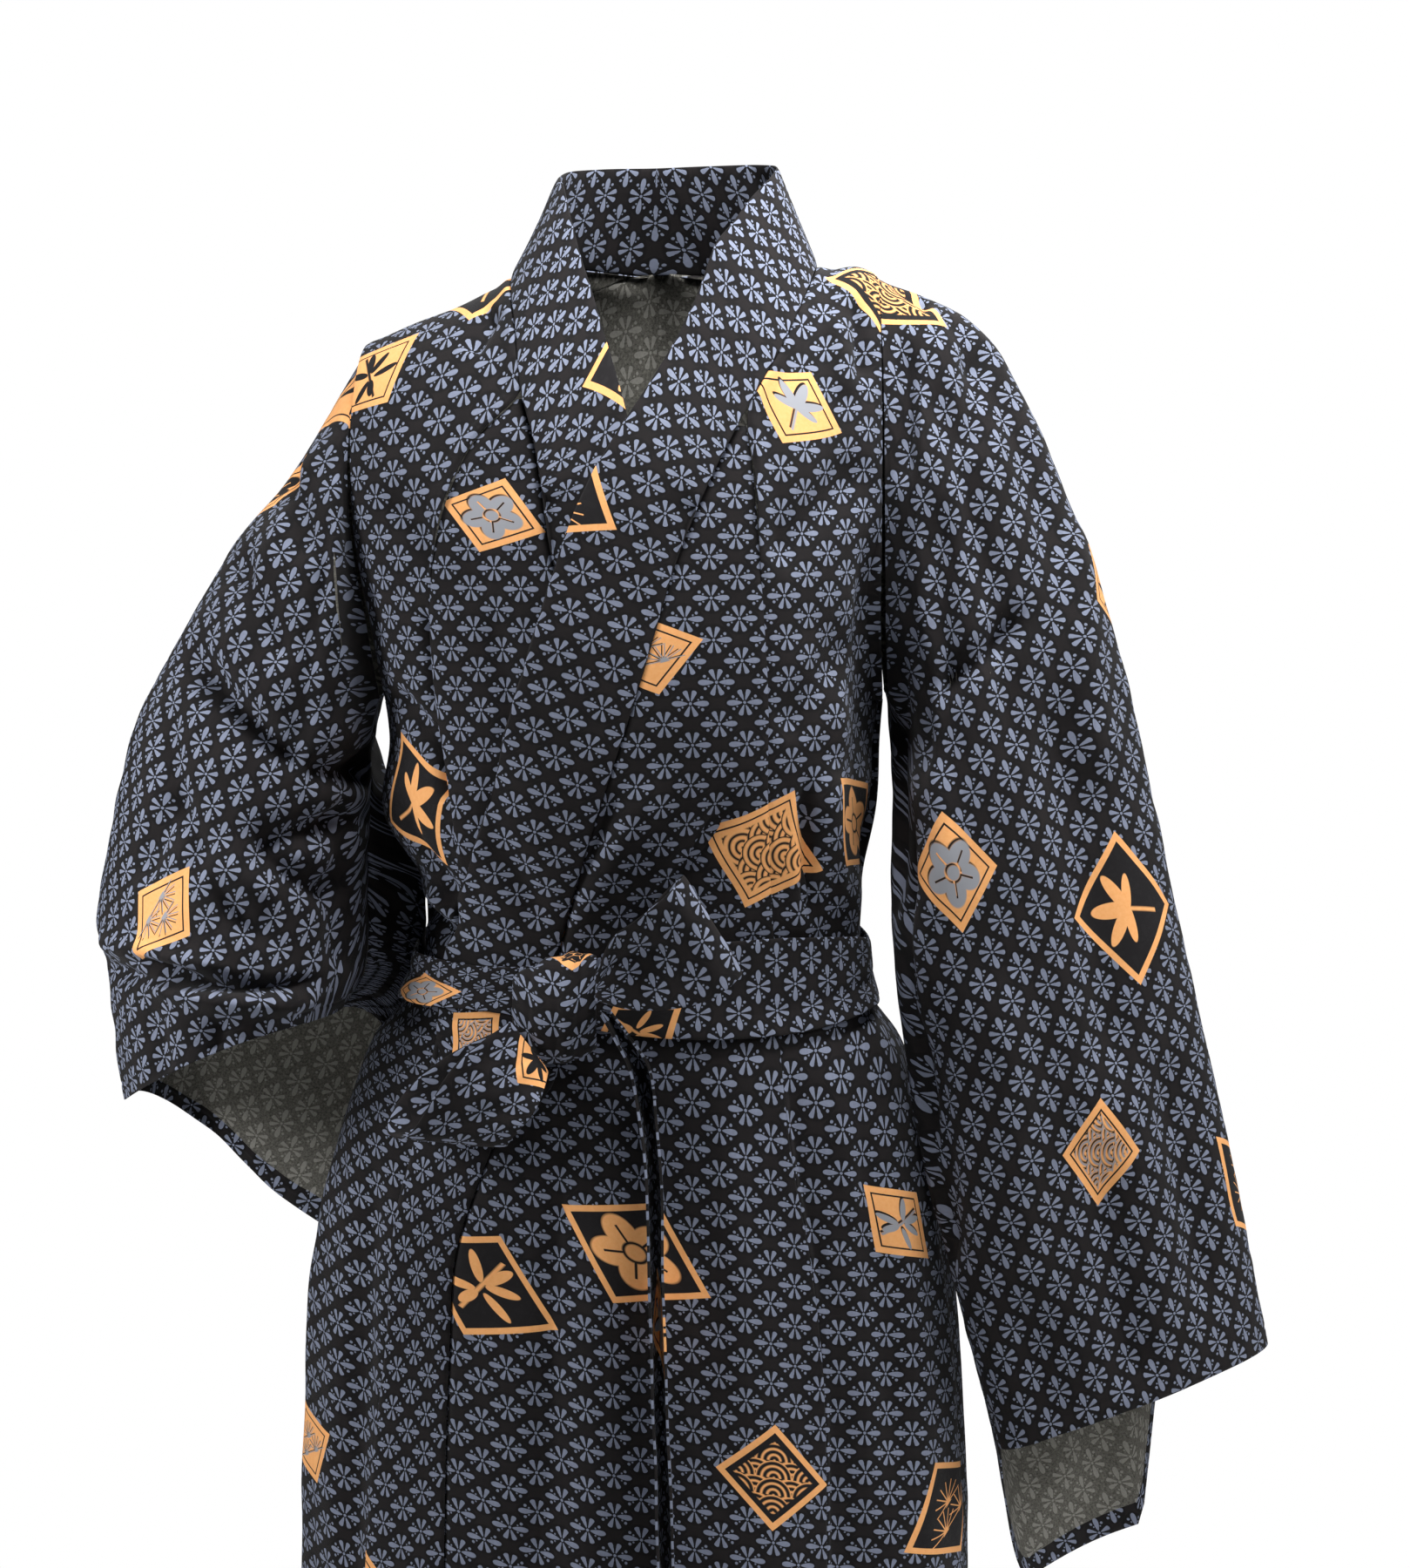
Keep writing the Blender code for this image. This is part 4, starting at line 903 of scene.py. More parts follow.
def collarSide(side, seams, widthName, over):
    seamAcross = seamX(seams, "collar", bodyHeights) - side * 0.0002
    turn = turnAt(seamAcross, bodyHeights)
    lift = overLift(turn, bodyHeights) if over else 0.0 * turn
    front, frontOut = wornCloth(turn, bodyHeights, np.ones_like(turn), lift)
    backRows = bodyHeights[bodyHeights >= neck["back"]][::-1][1:]
    backTurn = turnAt(neckX(side, backRows), backRows)
    back, backOut = wornCloth(backTurn, backRows, -np.ones_like(backTurn), 0.0 * backTurn)
    seam, outwards = np.concatenate([front, back]), np.concatenate([frontOut, backOut])
    along = lengthsAlong(seam)
    fromBack = side * (along[-1] - along)
    seam = seam + outwards * proudEdge(seam)[:, None]
    slopeX, slopeZ = np.gradient(seam[:, 0]), np.gradient(seam[:, 2])
    reach = np.maximum(np.hypot(slopeX, slopeZ), 1e-9)
    width = collar["widths"].read(widthName, seam[:, 2])
    freeX = seam[:, 0] - side * width * np.abs(slopeZ) / reach
    freeZ = seam[:, 2] + width * np.abs(slopeX) / reach
    flatFree, _ = frontCloth(freeX, np.minimum(freeZ, -0.02), over)
    neckFree = collar["edge"].point("x y z", fromBack)
    blend = fade((collar["freeFrom"] - np.abs(fromBack)) / collar["freeOver"])[:, None]
    return seam, flatFree * (1 - blend) + neckFree * blend


def collarBand():
    leftSide, rightSide = collarSide(1, leftSeams, "left", True), collarSide(-1, rightSeams, "right", False)
    seam, free = (thereAndBack(*pair) for pair in zip(leftSide, rightSide))
    share = edgeShare(24, 0.85)
    grid = seam[:, None] + (free - seam)[:, None] * share[:, None]
    for row, spots in enumerate(grid):
        if (spots[:, 2] < collar["liesBelow"]).all():
            spots[1:-1] = frontCloth(spots[1:-1, 0], spots[1:-1, 2], row < len(leftSide[0]))[0]
    warp = lengthsAlong(grid[:, len(share) // 2])[:, None]
    weft, warp = np.broadcast_arrays(share[None, :] * collar["width"], warp)
    depth = ripples(weft * 0.6, warp, collar["seed"], *collar["ripple"])
    for place, turn, width, deep in collar["creases"]:
        across = (warp * 1000 - place - (weft - collar["width"] / 2) * 1000 * turn) / width
        depth = depth + deep / 1000 * np.exp(-(across**2))
    grid = grid + gridNormals(grid) * (depth * fade(weft / 0.008))[..., None]
    thickness = collar["thickness"] * roundedEdges(share)
    return sewPiece("collarBand", grid, (weft, warp), 1, thickness, collar["badges"])


# the sleeves: wide tubes, open at the armhole and the cuff
sleeves = {
    "cloth": 0.0009,
    "creases": 2.2,
    "halfColumns": 73,  # points round the front or the back of a ring
    "foldRadius": 85,  # millimetres, for widths of folds round the arm
    "stationLength": 50,
    "cuffHem": 0.0095,
    "cuffStitch": (0.0004, 0.0012),
    "armholeSeam": (0.0012, 0.003),
    "armholeSink": 0.0022,  # how deep the sleeve sinks beside its armhole
    "sinkAt": 0.008,
    "ripple": (0.05, 0.0006),
    "left": Sizes("outer_x outer_y outer_z inner_x inner_y inner_z before behind rise drop", [
        (163, 0, -23, 148, -12, -285, 68, 60, 0, 0),
        (187, -4, -35, 148, -25, -325, 66, 58, 0, 0),
        (207, -8, -57, 147, -40, -368, 62, 56, 0, 0),
        (232, -14, -105, 150, -56, -415, 57, 54, 0, 0),
        (257, -18, -169, 155, -62, -455, 53, 53, 0, 0),
        (276, -20, -228, 161, -66, -492, 50, 52, 0, 0),
        (292, -22, -292, 169, -69, -527, 48, 52, 0, 0),
        (307, -24, -360, 178, -72, -560, 47, 52, 0, 2),
        (326, -25, -440, 187, -74, -594, 46, 53, 2, 8),
        (347, -26, -530, 197, -76, -632, 45, 54, 4, 36),
        (366, -26, -622, 208, -76, -668, 44, 56, 8, 101),
    ], range(1, 12)),
    "right": Sizes("outer_x outer_y outer_z inner_x inner_y inner_z before behind rise drop", [
        (-170, 0, -88, -150, -6, -283, 68, 60, 0, 0),
        (-193, 0, -124, -151, -8, -312, 70, 58, 0, 0),
        (-225, 0, -162, -152, -10, -338, 73, 58, 0, 0),
        (-263, 2, -224, -152, -12, -360, 78, 58, 0, 0),
        (-286, 3, -270, -152, -14, -379, 84, 58, 1, 6),
        (-298, 4, -320, -152, -16, -393, 90, 60, 3, 22),
        (-308, 4, -374, -153, -18, -402, 97, 62, 6, 42),
        (-303, 4, -402, -155, -18, -408, 101, 65, 9, 67),
        (-300, 4, -430, -158, -18, -414, 104, 68, 12, 94),
        (-297.5, 4, -460, -162, -16, -420, 106, 74, 16, 123),
        (-294, 4, -483, -167, -14, -427, 107, 80, 20, 150),
    ], range(1, 12)),
    # turn round the sleeve from its outer edge over the front, and station
    "leftFolds": [
        (48, 0.6, 78, 5, 13, -7), (20, 1.2, 40, 5.2, 14, -5.5), (100, 0.8, 118, 4.6, 13, 5),
        (150, 2, 168, 6.5, 13, -6), (62, 5, 84, 11.5, 22, 4), (122, 5.5, 128, 11.5, 16, -4.5),
        (-40, 0.8, -60, 5.5, 15, -6.5), (-90, 1.5, -100, 6, 16, 5), (-130, 2, -128, 8, 15, -5.5),
        (-75, 6, -82, 11.5, 18, -6),
    ],
    "rightFolds": [
        (30, 4, 120, 6.6, 12, -6), (10, 8, 120, 8.1, 11, -8.5), (20, 7.3, 105, 7.2, 12, 6),
        (60, 0.8, 120, 4, 14, -5), (20, 1, 60, 3.6, 14, 4.5), (140, 2, 150, 7, 14, -5.5),
        (-50, 1, -70, 6, 16, -6), (-100, 2, -100, 8, 16, 5), (-140, 3, -136, 10, 16, -5.5),
        (-60, 7, -66, 11.5, 16, 5),
    ],
}


def armholeRing(side, turns):
    heights = np.linspace(body["armpit"], 0, 120)
    turn = armholeTurn(side, heights)
    loops = [wornCloth(turn, heights, np.full_like(turn, face))[0] for face in (1, -1)]
    centre = (loops[0][0, 2] + loops[0][-1, 2]) / 2
    half = (loops[0][-1, 2] - loops[0][0, 2]) / 2
    levels = centre + half * np.cos(turns)
    front, back = [[np.interp(levels, spots[:, 2], spots[:, axis]) for axis in range(3)] for spots in loops]
    ring = np.where(np.sin(turns) >= 0, front, back).T
    ring[:, 2] = levels
    ring[:, 0] += side * (0.0006 + 0.0014 * fade((-np.cos(turns) + 0.2) / 1.2))
    return ring


def sleeveRing(table, station, turns, hang):
    outer = table.point("outer_x outer_y outer_z", station)
    inner = table.point("inner_x inner_y inner_z", station)
    middle, reach = (outer + inner) / 2, (outer - inner) / 2
    before, behind, rise, drop = table.point("before behind rise drop", station)
    ahead = np.sin(turns)
    ring = middle + np.cos(turns)[:, None] * reach
    ring[:, 1] -= np.where(ahead > 0, before, behind) * ahead
    ring[:, 2] += rise * np.maximum(ahead, 0) ** 1.5
    starts, full, ends = hang
    share = (1 - np.cos(turns)) / 2
    low = np.clip((share - starts) / (full - starts), 0, 1)
    low = low * (1 - np.clip((share - ends) / (1 - ends), 0, 1) ** 2)
    ring[:, 2] -= drop * low * (ahead < -1e-6)
    return ring


def flatHalf(grid, middle, weftWay):
    # lays one half of a sleeve flat from its middle line and reads the print's own directions there
    line = grid[:, middle]
    steps = np.diff(line, axis=0)
    flatSteps = steps[:, [0, 2]] / np.linalg.norm(steps[:, [0, 2]], axis=1, keepdims=True)
    flatSteps = flatSteps * np.linalg.norm(steps, axis=1, keepdims=True)
    start = line[0, [0, 2]] + np.concatenate([[(0, 0)], np.cumsum(flatSteps, axis=0)])
    across = (grid[:, middle + 4] - grid[:, middle - 4])[:, [0, 2]]
    across = across / np.linalg.norm(across, axis=1, keepdims=True)
    around = runs(grid, 1)
    around = around - around[:, middle:middle + 1]
    spots = start[:, None] + around[..., None] * across[:, None]
    return spots @ np.array(weftWay), spots @ np.array([weftWay[1], -weftWay[0]])


def sleevePrint(grid, turns, weftWay):
    middle = sleeves["halfColumns"] // 2
    front, back = (flatHalf(grid, middle + first, weftWay) for first in (sleeves["halfColumns"], 0))
    return [np.where(turns > 0, ahead, behind) for ahead, behind in zip(front, back)]


def sleeveTube(name, side, table, folds, look):
    # the tube is laid open at its underarm seam, and the print changes over at its outer edge
    halfTurns = np.linspace(0.0004, np.pi, sleeves["halfColumns"])
    turns = np.concatenate([-halfTurns[::-1], halfTurns])
    spans = ((0, 1.1, 24), (1.1, 10.4, 130), (10.4, 11, 24))
    stations = np.concatenate([[0]] + [np.linspace(*span)[1:] for span in spans])
    first = armholeRing(side, turns)
    rings = []
    for station in stations:
        ring = sleeveRing(table, max(station, 1.0), turns, look["hang"])
        if station < 1.0:
            ring = first + (ring - first) * (fade(station) + station) / 2
        inward = np.clip((turns + np.pi) * 2 / np.pi, 0, 1)
        swell = look["backSwell"] * fade((station - 1.0) / 3.2)
        ring[:, 0] += swell * np.sin(inward * np.pi) * (1 - inward)
        rings.append(ring)
    grid = np.array(rings)
    weft, warp = sleevePrint(grid, turns, look["weftWay"])
    normals = gridNormals(grid, side)
    place = stations[:, None]
    calm = fade((place - 0.2) / 1.0)
    depth = foldDepth(folds, turns[None, :], place, sleeves["foldRadius"], sleeves["stationLength"]) * calm
    fine = ripples(weft, warp, look["seed"], *sleeves["ripple"])
    for face, creases in ((1, look["front"]), (-1, look["back"])):
        fine += creaseDepth(creases, grid, sleeves["creases"]) * fade(face * np.sin(turns) / 0.15)
    fine = fine * fade((place - 0.1) / 0.6) * fade((11.15 - place) / 0.5)
    fromArmhole, fromCuff = runs(grid, 0), runs(grid[::-1], 0)[::-1]
    # the sleeve sinks a little beside its armhole, and its cuff has one row of stitches
    beside = fromArmhole / sleeves["sinkAt"]
    dip = seamDip(fromArmhole, *sleeves["armholeSeam"]) - sleeves["armholeSink"] * beside * np.exp(1 - beside)
    dip = dip + seamDip(fromCuff - sleeves["cuffHem"], *sleeves["cuffStitch"])
    grid = grid + normals * (depth + fine + dip)[..., None]
    hemRows = int(np.sum(fromCuff[:, len(halfTurns)] < sleeves["cuffHem"]))
    hems = [(len(grid) - 1 - hemRows, len(grid) - 1)]
    return sewPiece(name, grid, (weft, warp), side, sleeves["cloth"], look["badges"], hems)


# the belt round the waist, gathered to a narrow pleat beside the knot
belt = {
    "thickness": 0.0024,
    "width": 0.055,
    "lift": 0.0055,
    # by the turn from the front
    "edges": Sizes("lower upper", [
        (-426, -376),
        (-426, -383),
        (-424, -390),
        (-421, -390),
        (-417, -389),
        (-420, -384),
        (-428, -375),
        (-430, -372),
        (-427, -378),
        (-423, -389),
        (-426, -383),
        (-426, -376),
    ], [-180, -120, -90, -60, -32, -15, 5, 30, 60, 90, 120, 180]),
    # turn and place across at both ends, width across, depth
    "creases": [
        (-95, 0.55, -22, 0.45, 0.1, -1.8), (20, 0.2, 96, 0.5, 0.1, -1.2),
    ],
    "badges": [
        (14, 246, 80, 30, 22, "silver", 0), (2, 379, 51, 30, 22, "black", 1),
        (40, 60, 20, 31, 22, "silver", 3), (45, 640, 30, 31, 22, "silver", 4),
    ],
}


def beltPlace(turnDegrees, across):
    around = (turnDegrees + 180) % 360 - 180
    lower, upper = belt["edges"].read("lower", around), belt["edges"].read("upper", around)
    height = lower + (upper - lower) * across
    face = np.where(np.abs(around) <= 90, 1, -1)
    turn = np.where(face > 0, np.radians(around), np.radians(np.sign(around) * 180 - around))
    normal = bodyNormal(turn, height, face)
    over = body["wrap"] * fade((np.radians(86) - np.abs(turn)) / np.radians(20)) * (face > 0)
    crease = np.zeros_like(height)
    for firstTurn, first, lastTurn, last, width, depth in belt["creases"]:
        share = (around - firstTurn) / (lastTurn - firstTurn)
        line = first + (last - first) * share
        shown = fade(share / 0.15) * fade((1 - share) / 0.1)
        crease += depth / 1000 * np.exp(-(((across - line) / width) ** 2)) * shown
    lift = belt["lift"] + over + crease + bodyFolds(turn, height, face)
    return bodySurface(turn, height, face) + normal * lift[..., None]


def beltBand():
    across = edgeShare(30, 0.85)
    turn, place = np.meshgrid(np.linspace(-180, 180, 361), across)
    turn[:, -1] = 179.9999
    grid = beltPlace(turn, place)
    # the print repeats a whole number of times round the waist
    around = runs(grid[15:16], 1)
    step = flower["alongWarp"] / 1000
    warp = around / around[0, -1] * round(around[0, -1] / step) * step
    thickness = belt["thickness"] * roundedEdges(across)[:, None]
    return sewPiece("beltWrap", grid, (across[:, None] * belt["width"], warp), 1, thickness, belt["badges"])


def beltFront(x, z):
    turn = turnAt(x, np.full_like(x, -0.40))
    return bodySurface(turn, z, np.ones_like(x))[..., 1] - belt["lift"] - body["wrap"]


def skirtFront(x, z):
    spots, _ = frontCloth(x, z, True)
    return spots[..., 1] - bow["offCloth"]


# the bow: the knot's band, two loops and two ends
bow = {
    "thickness": 0.0024,
    "endThickness": 0.0014,
    "offCloth": 0.0008,  # how far a part of the bow keeps from the skirt's cloth
    "knotHeight": -0.405,
    "knotOffBelt": 0.0022,
    "knotOffSkirt": 0.0035,
    "knotPrint": (0.07, 0.010),  # how far the knot's print is shifted
    "endTuck": 0.016,  # how far the long end's top goes forward into the knot
    "endOff": 0.0014,
    "shortEndOff": 0.0038,
    "knot": Sizes("across lower upper forward", [
        (-64, -430, -394, 12.5),
        (-56, -436, -389, 19),
        (-44, -439, -383, 23.5),
        (-31, -437, -379, 23.5),
        (-18, -430, -380, 15),
    ]),
    "upper": Sizes("top_x top_y top_z low_x low_y low_z dish", [
        (-17.6, -129, -387, -17.5, -129, -401, 0),
        (-10, -145, -366, -1, -140, -403.5, 6),
        (2, -152, -354.5, 19, -142, -403.5, 9),
        (14, -154, -345, 37, -143, -400, 6),
        (24, -149, -336.5, 52, -140, -393, 1),
        (29, -138, -331.5, 61, -132, -386, 0),
        (25, -129, -336, 55, -126, -391, 0),
        (12, -126.5, -350, 36, -125, -398, 1),
        (-3, -126, -368, 13, -125, -402, 1),
        (-17.2, -124.5, -388, -17, -124.5, -401, 0),
    ], range(10)),
    "lower": Sizes("top_x top_y top_z low_x low_y low_z dish", [
        (-64.5, -126, -413, -44, -127, -441, 0),
        (-79, -138, -421.5, -46, -139, -448.5, 3),
        (-94.5, -145, -434.5, -50, -147, -457, 5),
        (-105.5, -146, -452, -57, -148, -466, 4),
        (-116, -142, -469, -64, -144, -475, 1),
        (-125, -130, -476, -66, -136, -479, 0),
        (-133, -115, -474, -65, -129, -474, 0),
        (-122, -111, -454, -57, -126.5, -464, 0),
        (-98, -117, -433, -49, -126.2, -454, 0),
        (-66.5, -120.5, -417, -43, -121.5, -443, 0),
    ], range(10)),
    "long": Sizes("x z depth open", [
        (-13, -408, 4, 3.5),
        (-4, -420, 10, 4.5),
        (6, -438, 17, 5),
        (10.5, -466, 22, 4.5),
        (13.5, -500, 24, 4),
        (14.5, -545, 25, 3.8),
        (16.2, -600, 25, 3.8),
        (18.4, -666, 25, 4),
        (20, -725, 25, 4.2),
        (21, -790, 25, 4.5),
    ], range(10)),
    "short": Sizes("left_x right_x z", [
        (-60, -40, -442),
        (-72, -42, -450),
        (-86, -48, -459),
        (-98, -55, -469),
    ], range(4)),
    "badges": {
        "bowKnot": [(42, 84, -14, 16, 12, "orange", 0)],
        "bowLoopUpper": [],
        "bowLoopLower": [(40, 2, 8, 28, 20, "orange", 2)],
        "beltLongEnd": [(58, 180, 80, 31, 22, "silver", 2)],
        "beltShortEnd": [],
    },
    "seeds": {"bowKnot": 31, "bowLoopUpper": 21, "bowLoopLower": 22, "beltLongEnd": 41},
    "ripples": {
        "bowKnot": (0.02, 0.0003),
        "bowLoopUpper": (0.03, 0.0004),
        "bowLoopLower": (0.03, 0.0004),
        "beltLongEnd": (0.06, 0.0004),
    },
    # on loops: place along at both ends, place across, drift, width, depth; on the knot: place, width, depth
    "creases": {
        "bowKnot": [(0.20, 0.05, -1.2), (0.36, 0.05, 0.8), (0.55, 0.06, -1.0), (0.78, 0.05, -1.2)],
        "bowLoopUpper": [(0, 3.5, 0.30, 0.15, 0.10, -2.5), (0, 3.0, 0.65, -0.10, 0.09, -2.2)],
        "bowLoopLower": [(0, 3.5, 0.35, 0.10, 0.10, -2.5), (0, 3.0, 0.70, -0.15, 0.09, -2.0)],
    },
}


def bowRipples(name, weft, warp):
    return ripples(weft, warp, bow["seeds"][name], *bow["ripples"][name])


def sewBow(name, grid, print2d, outward, thickness):
    return sewPiece(name, grid, print2d, outward, thickness, bow["badges"][name])


def bowKnot():
    rows = []
    places = np.linspace(*bow["knot"].keys[[0, -1]], 60)
    arch = np.linspace(-np.pi / 2, np.pi / 2, 60)
    for across in places:
        lower, upper, forward = bow["knot"].point("lower upper forward", across)
        z = (lower + upper) / 2 + (upper - lower) / 2 * np.sin(arch)
        base = beltFront(np.array([across]), np.array([bow["knotHeight"]]))[0] - bow["knotOffBelt"]
        y = base - forward * np.maximum(np.cos(arch), 0) ** 0.8
        x = np.full_like(z, across)
        y = np.minimum(y, skirtFront(x, z) - bow["knotOffSkirt"])
        rows.append(np.stack([x, y, z], axis=-1))
    grid = np.array(rows)
    weft, warp = places[:, None] + bow["knotPrint"][0], runs(grid, 1) + bow["knotPrint"][1]
    share = np.linspace(0, 1, len(places))
    depth = bowRipples("bowKnot", weft, warp)
    for place, width, deep in bow["creases"]["bowKnot"]:
        apart = share[:, None] - place - 0.1 * (share[None, :] - 0.5)
        depth += deep / 1000 * np.exp(-((apart / width) ** 2))
    grid = grid + gridNormals(grid, -1) * depth[..., None]
    thickness = bow["thickness"] * roundedEdges(share)[:, None]
    return sewBow("bowKnot", grid, (weft, warp), -1, thickness)


def bowLoop(name, table):
    stations = np.linspace(0, table.keys[-1], 140)
    top, low = table.point("top_x top_y top_z", stations), table.point("low_x low_y low_z", stations)
    share = edgeShare(30, 0.85)
    grid = top[:, None] + (low - top)[:, None] * share[:, None]
    grid[..., 1] += table.read("dish", stations)[:, None] * np.sin(share * np.pi)
    warp, weft = runs(grid[:, 15:16], 0), belt["width"] * share[None, :]
    depth = bowRipples(name, weft, warp)
    for first, last, place, drift, width, deep in bow["creases"][name]:
        along = (stations[:, None] - first) / (last - first)
        line = place + drift * along
        shown = fade(along / 0.3) * fade((1 - along) / 0.3)
        depth += deep / 1000 * np.exp(-(((share[None, :] - line) / width) ** 2)) * shown
    grid = grid + gridNormals(grid) * depth[..., None]
    thickness = bow["thickness"] * roundedEdges(share)
    return sewBow(name, grid, (weft, warp), 1, thickness)


def bowLongEnd():
    table = bow["long"]
    stations = np.linspace(0, table.keys[-1], 160)
    x, z, depth, opening = table.point("x z depth open", stations).T[:, :, None]
    rest = skirtFront(x, z) - bow["endOff"] - bow["endTuck"] * fade((2.6 - stations[:, None]) / 1.6)
    # the end hangs folded in two along its length, its edges towards the front
    bend = np.linspace(-1, 1, 25)
    beside, ahead = np.sin(bend * np.pi / 2), np.abs(bend) ** 1.6
    grid = np.stack(np.broadcast_arrays(x + opening * beside, rest - depth * ahead, z), axis=-1)
    warp, weft = runs(grid[:, 12:13], 0), belt["width"] / 2 + runs(grid, 1) * 0.9
    grid = grid + gridNormals(grid) * bowRipples("beltLongEnd", weft, warp)[..., None]
    return sewBow("beltLongEnd", grid, (weft, warp), 1, bow["endThickness"])


def bowShortEnd():
    table = bow["short"]
    left, right, z = table.point("left_x right_x z", np.linspace(0, table.keys[-1], 50)).T[:, :, None]
    share = edgeShare(26, 0.7)
    x, z = np.broadcast_arrays(left + (right - left) * share, z)
    grid = np.stack([x, skirtFront(x, z) - bow["shortEndOff"], z], axis=-1)
    thickness = bow["thickness"] * roundedEdges(share)
    return sewBow("beltShortEnd", grid, (runs(grid, 1), runs(grid, 0)), -1, thickness)


reverseFinish = cottonReverse("cottonReverse")

# badges: weft and warp (mm) in the piece's own print, turn, half length, half height (mm), kind, motif
bodyLeftLook = {
    "seed": 1,
    "creases": 2.0,  # scales the depth of all of its creases
    "slope": 0.17,
    "front": [
        (133, -140, 133, -361, 9, -4.5), (96, -280, 100, -368, 5, -3.8, 0, 0.4),
        (107, -270, 115, -368, 7, 3.2), (123, -20, 130, -72, 5, -3.5), (110, -30, 119, -80, 6, 2.2),
        (131, -108, 74, -168, 12, -2.8), (128, -200, 80, -262, 10, -2.4), (59, -432, 61, -480, 5, -4.2),
        (85, -436, 100, -590, 9, -3.5), (128, -452, 154, -700, 11, -4.2), (109, -438, 126, -540, 8, 2.6),
        (112, -600, 118, -850, 14, -3.4),
    ],
    "back": [
        (120, -50, 90, -170, 10, -3), (128, -160, 85, -250, 9, -3), (60, -250, 95, -395, 8, -3.5, -5),
        (40, -310, 50, -395, 6, 2.8), (120, -310, 128, -395, 6, -2.8), (50, -450, 60, -720, 12, -4),
        (100, -450, 122, -780, 13, -4), (78, -480, 88, -640, 10, 2.6), (148, -460, 170, -740, 10, -3),
    ],
    "badges": [
        (97, -100, -24, 31, 22, "silver", 2), (156, -24, -11, 40, 29, "black", 3),
        (75, -338, 65, 36, 32, "orange", 3), (146, -332, -48, 42, 31, "black", 0),
        (153, -537, -42, 31, 22, "silver", 1), (190, -700, 30, 44, 32, "black", 4),
        (60, 150, -30, 31, 22, "silver", 1), (130, 300, 25, 44, 32, "black", 3),
        (45, 430, -65, 36, 32, "orange", 2), (150, 560, 20, 31, 22, "silver", 0),
        (70, 690, -25, 44, 32, "black", 1), (165, 800, 60, 31, 22, "silver", 4),
    ],
}
bodyLeft = bodyPanel("bodyLeft", 1, leftSeams, True, bodyLeftLook)
declare(bodyLeft, "body_left")

bodyRightLook = {
    "seed": 2,
    "creases": 2.4,  # scales the depth of all of its creases
    "slope": 0.18,
    "front": [
        (-110, -188, -103, -249, 5, -3.8, 0, 0.5), (-103, -249, -100, -300, 5, -3.4, 0, 0.5),
        (-85, -285, -81, -362, 9, -4.5), (-74, -28, -88, -56, 5, -3), (-121, -350, -59, -399, 7, 3.5, 6),
        (-128, -366, -79, -406, 6, -4, 6), (-137, -127, -95, -173, 9, -2.5),
        (-134, -236, -96, -278, 6, -3), (-119, -457, -130, -727, 12, -4.2),
        (-79, -462, -73, -631, 10, 2.6), (-147, -482, -161, -760, 9, -4),
        (-100, -560, -96, -850, 14, -3.6),
    ],
    "back": [
        (-90, -60, -60, -190, 10, -3), (-120, -150, -75, -260, 9, -3), (-50, -240, -90, -390, 8, -3.5, 5),
        (-30, -300, -45, -395, 6, 2.8), (-105, -300, -118, -395, 7, -3), (-45, -450, -55, -700, 12, -4),
        (-95, -450, -110, -800, 13, -4), (-72, -470, -80, -620, 10, 2.6),
        (-140, -470, -158, -760, 10, -3),
    ],
    "badges": [
        (-148, -41, 35, 34, 24, "orange", 1), (-80, 2, -18, 40, 30, "black", 2),
        (-133, -283, -62, 44, 32, "black", 2), (-66, -128, -20, 31, 22, "silver", 0),
        (-223, -717, 32, 31, 22, "silver", 4), (-78, -640, 20, 31, 22, "silver", 2),
        (-40, 190, 30, 44, 32, "black", 1), (-150, 260, -20, 31, 22, "silver", 3),
        (-70, 395, 70, 36, 32, "orange", 0), (-172, 520, 25, 44, 32, "black", 4),
        (-60, 640, -30, 31, 22, "silver", 1), (-150, 770, 15, 36, 32, "orange", 2),
    ],
}
bodyRight = bodyPanel("bodyRight", -1, rightSeams, False, bodyRightLook)
declare(bodyRight, "body_right")
print("body sewn")

okumiLeftLook = {
    "seed": 3,
    "creases": 1.5,  # scales the depth of all of its creases
    "slope": 0.22,
    "front": [
        (60, -284, -11, -378, 9, -3.6, 6), (22, -272, -35, -372, 9, 2.8), (-1, -280, -49, -378, 7, -3.4),
        (-34, -462, -42, -570, 5, -4.8, 0, 0.5), (-42, -556, -51, -740, 5, -4.8, 0, 0.5),
        (17, -470, 10, -720, 10, -3.6), (51, -450, 60, -640, 9, 2.8), (-18, -500, -28, -800, 12, 3),
    ],
    "badges": [
        (22, -118, 14, 31, 22, "silver", 4), (82, -229, 66, 36, 32, "orange", 3),
        (-71, -491, -19, 44, 32, "black", 1), (13, -452, -22, 44, 32, "black", 0),
        (87, -563, -2, 32, 30, "black", 3), (-20, -700, 25, 31, 22, "silver", 2),
    ],
}
okumiLeft = okumiPanel("okumiLeft", 1, leftSeams, -0.119, True, okumiLeftLook)
declare(okumiLeft, "okumi_left")

okumiRightLook = {
    "seed": 4,
    "creases": 1.5,  # scales the depth of all of its creases
    "slope": 0.0,
    "front": [
        (-76, -186, -58, -272, 9, -2.8), (-58, -296, -78, -376, 7, -3.4),
        (-70, -460, -80, -700, 11, -3.6),
    ],
    "badges": [
        (-58, -59, -20, 31, 22, "silver", 0), (-30, -300, 30, 44, 32, "black", 4),
        (-60, -560, -30, 31, 22, "silver", 3),
    ],
}
okumiRight = okumiPanel("okumiRight", -1, rightSeams, -0.103, False, okumiRightLook)
declare(okumiRight, "okumi_right")
print("overlaps sewn")

collarPiece = collarBand()
declare(collarPiece, "collar")
print("collar sewn")

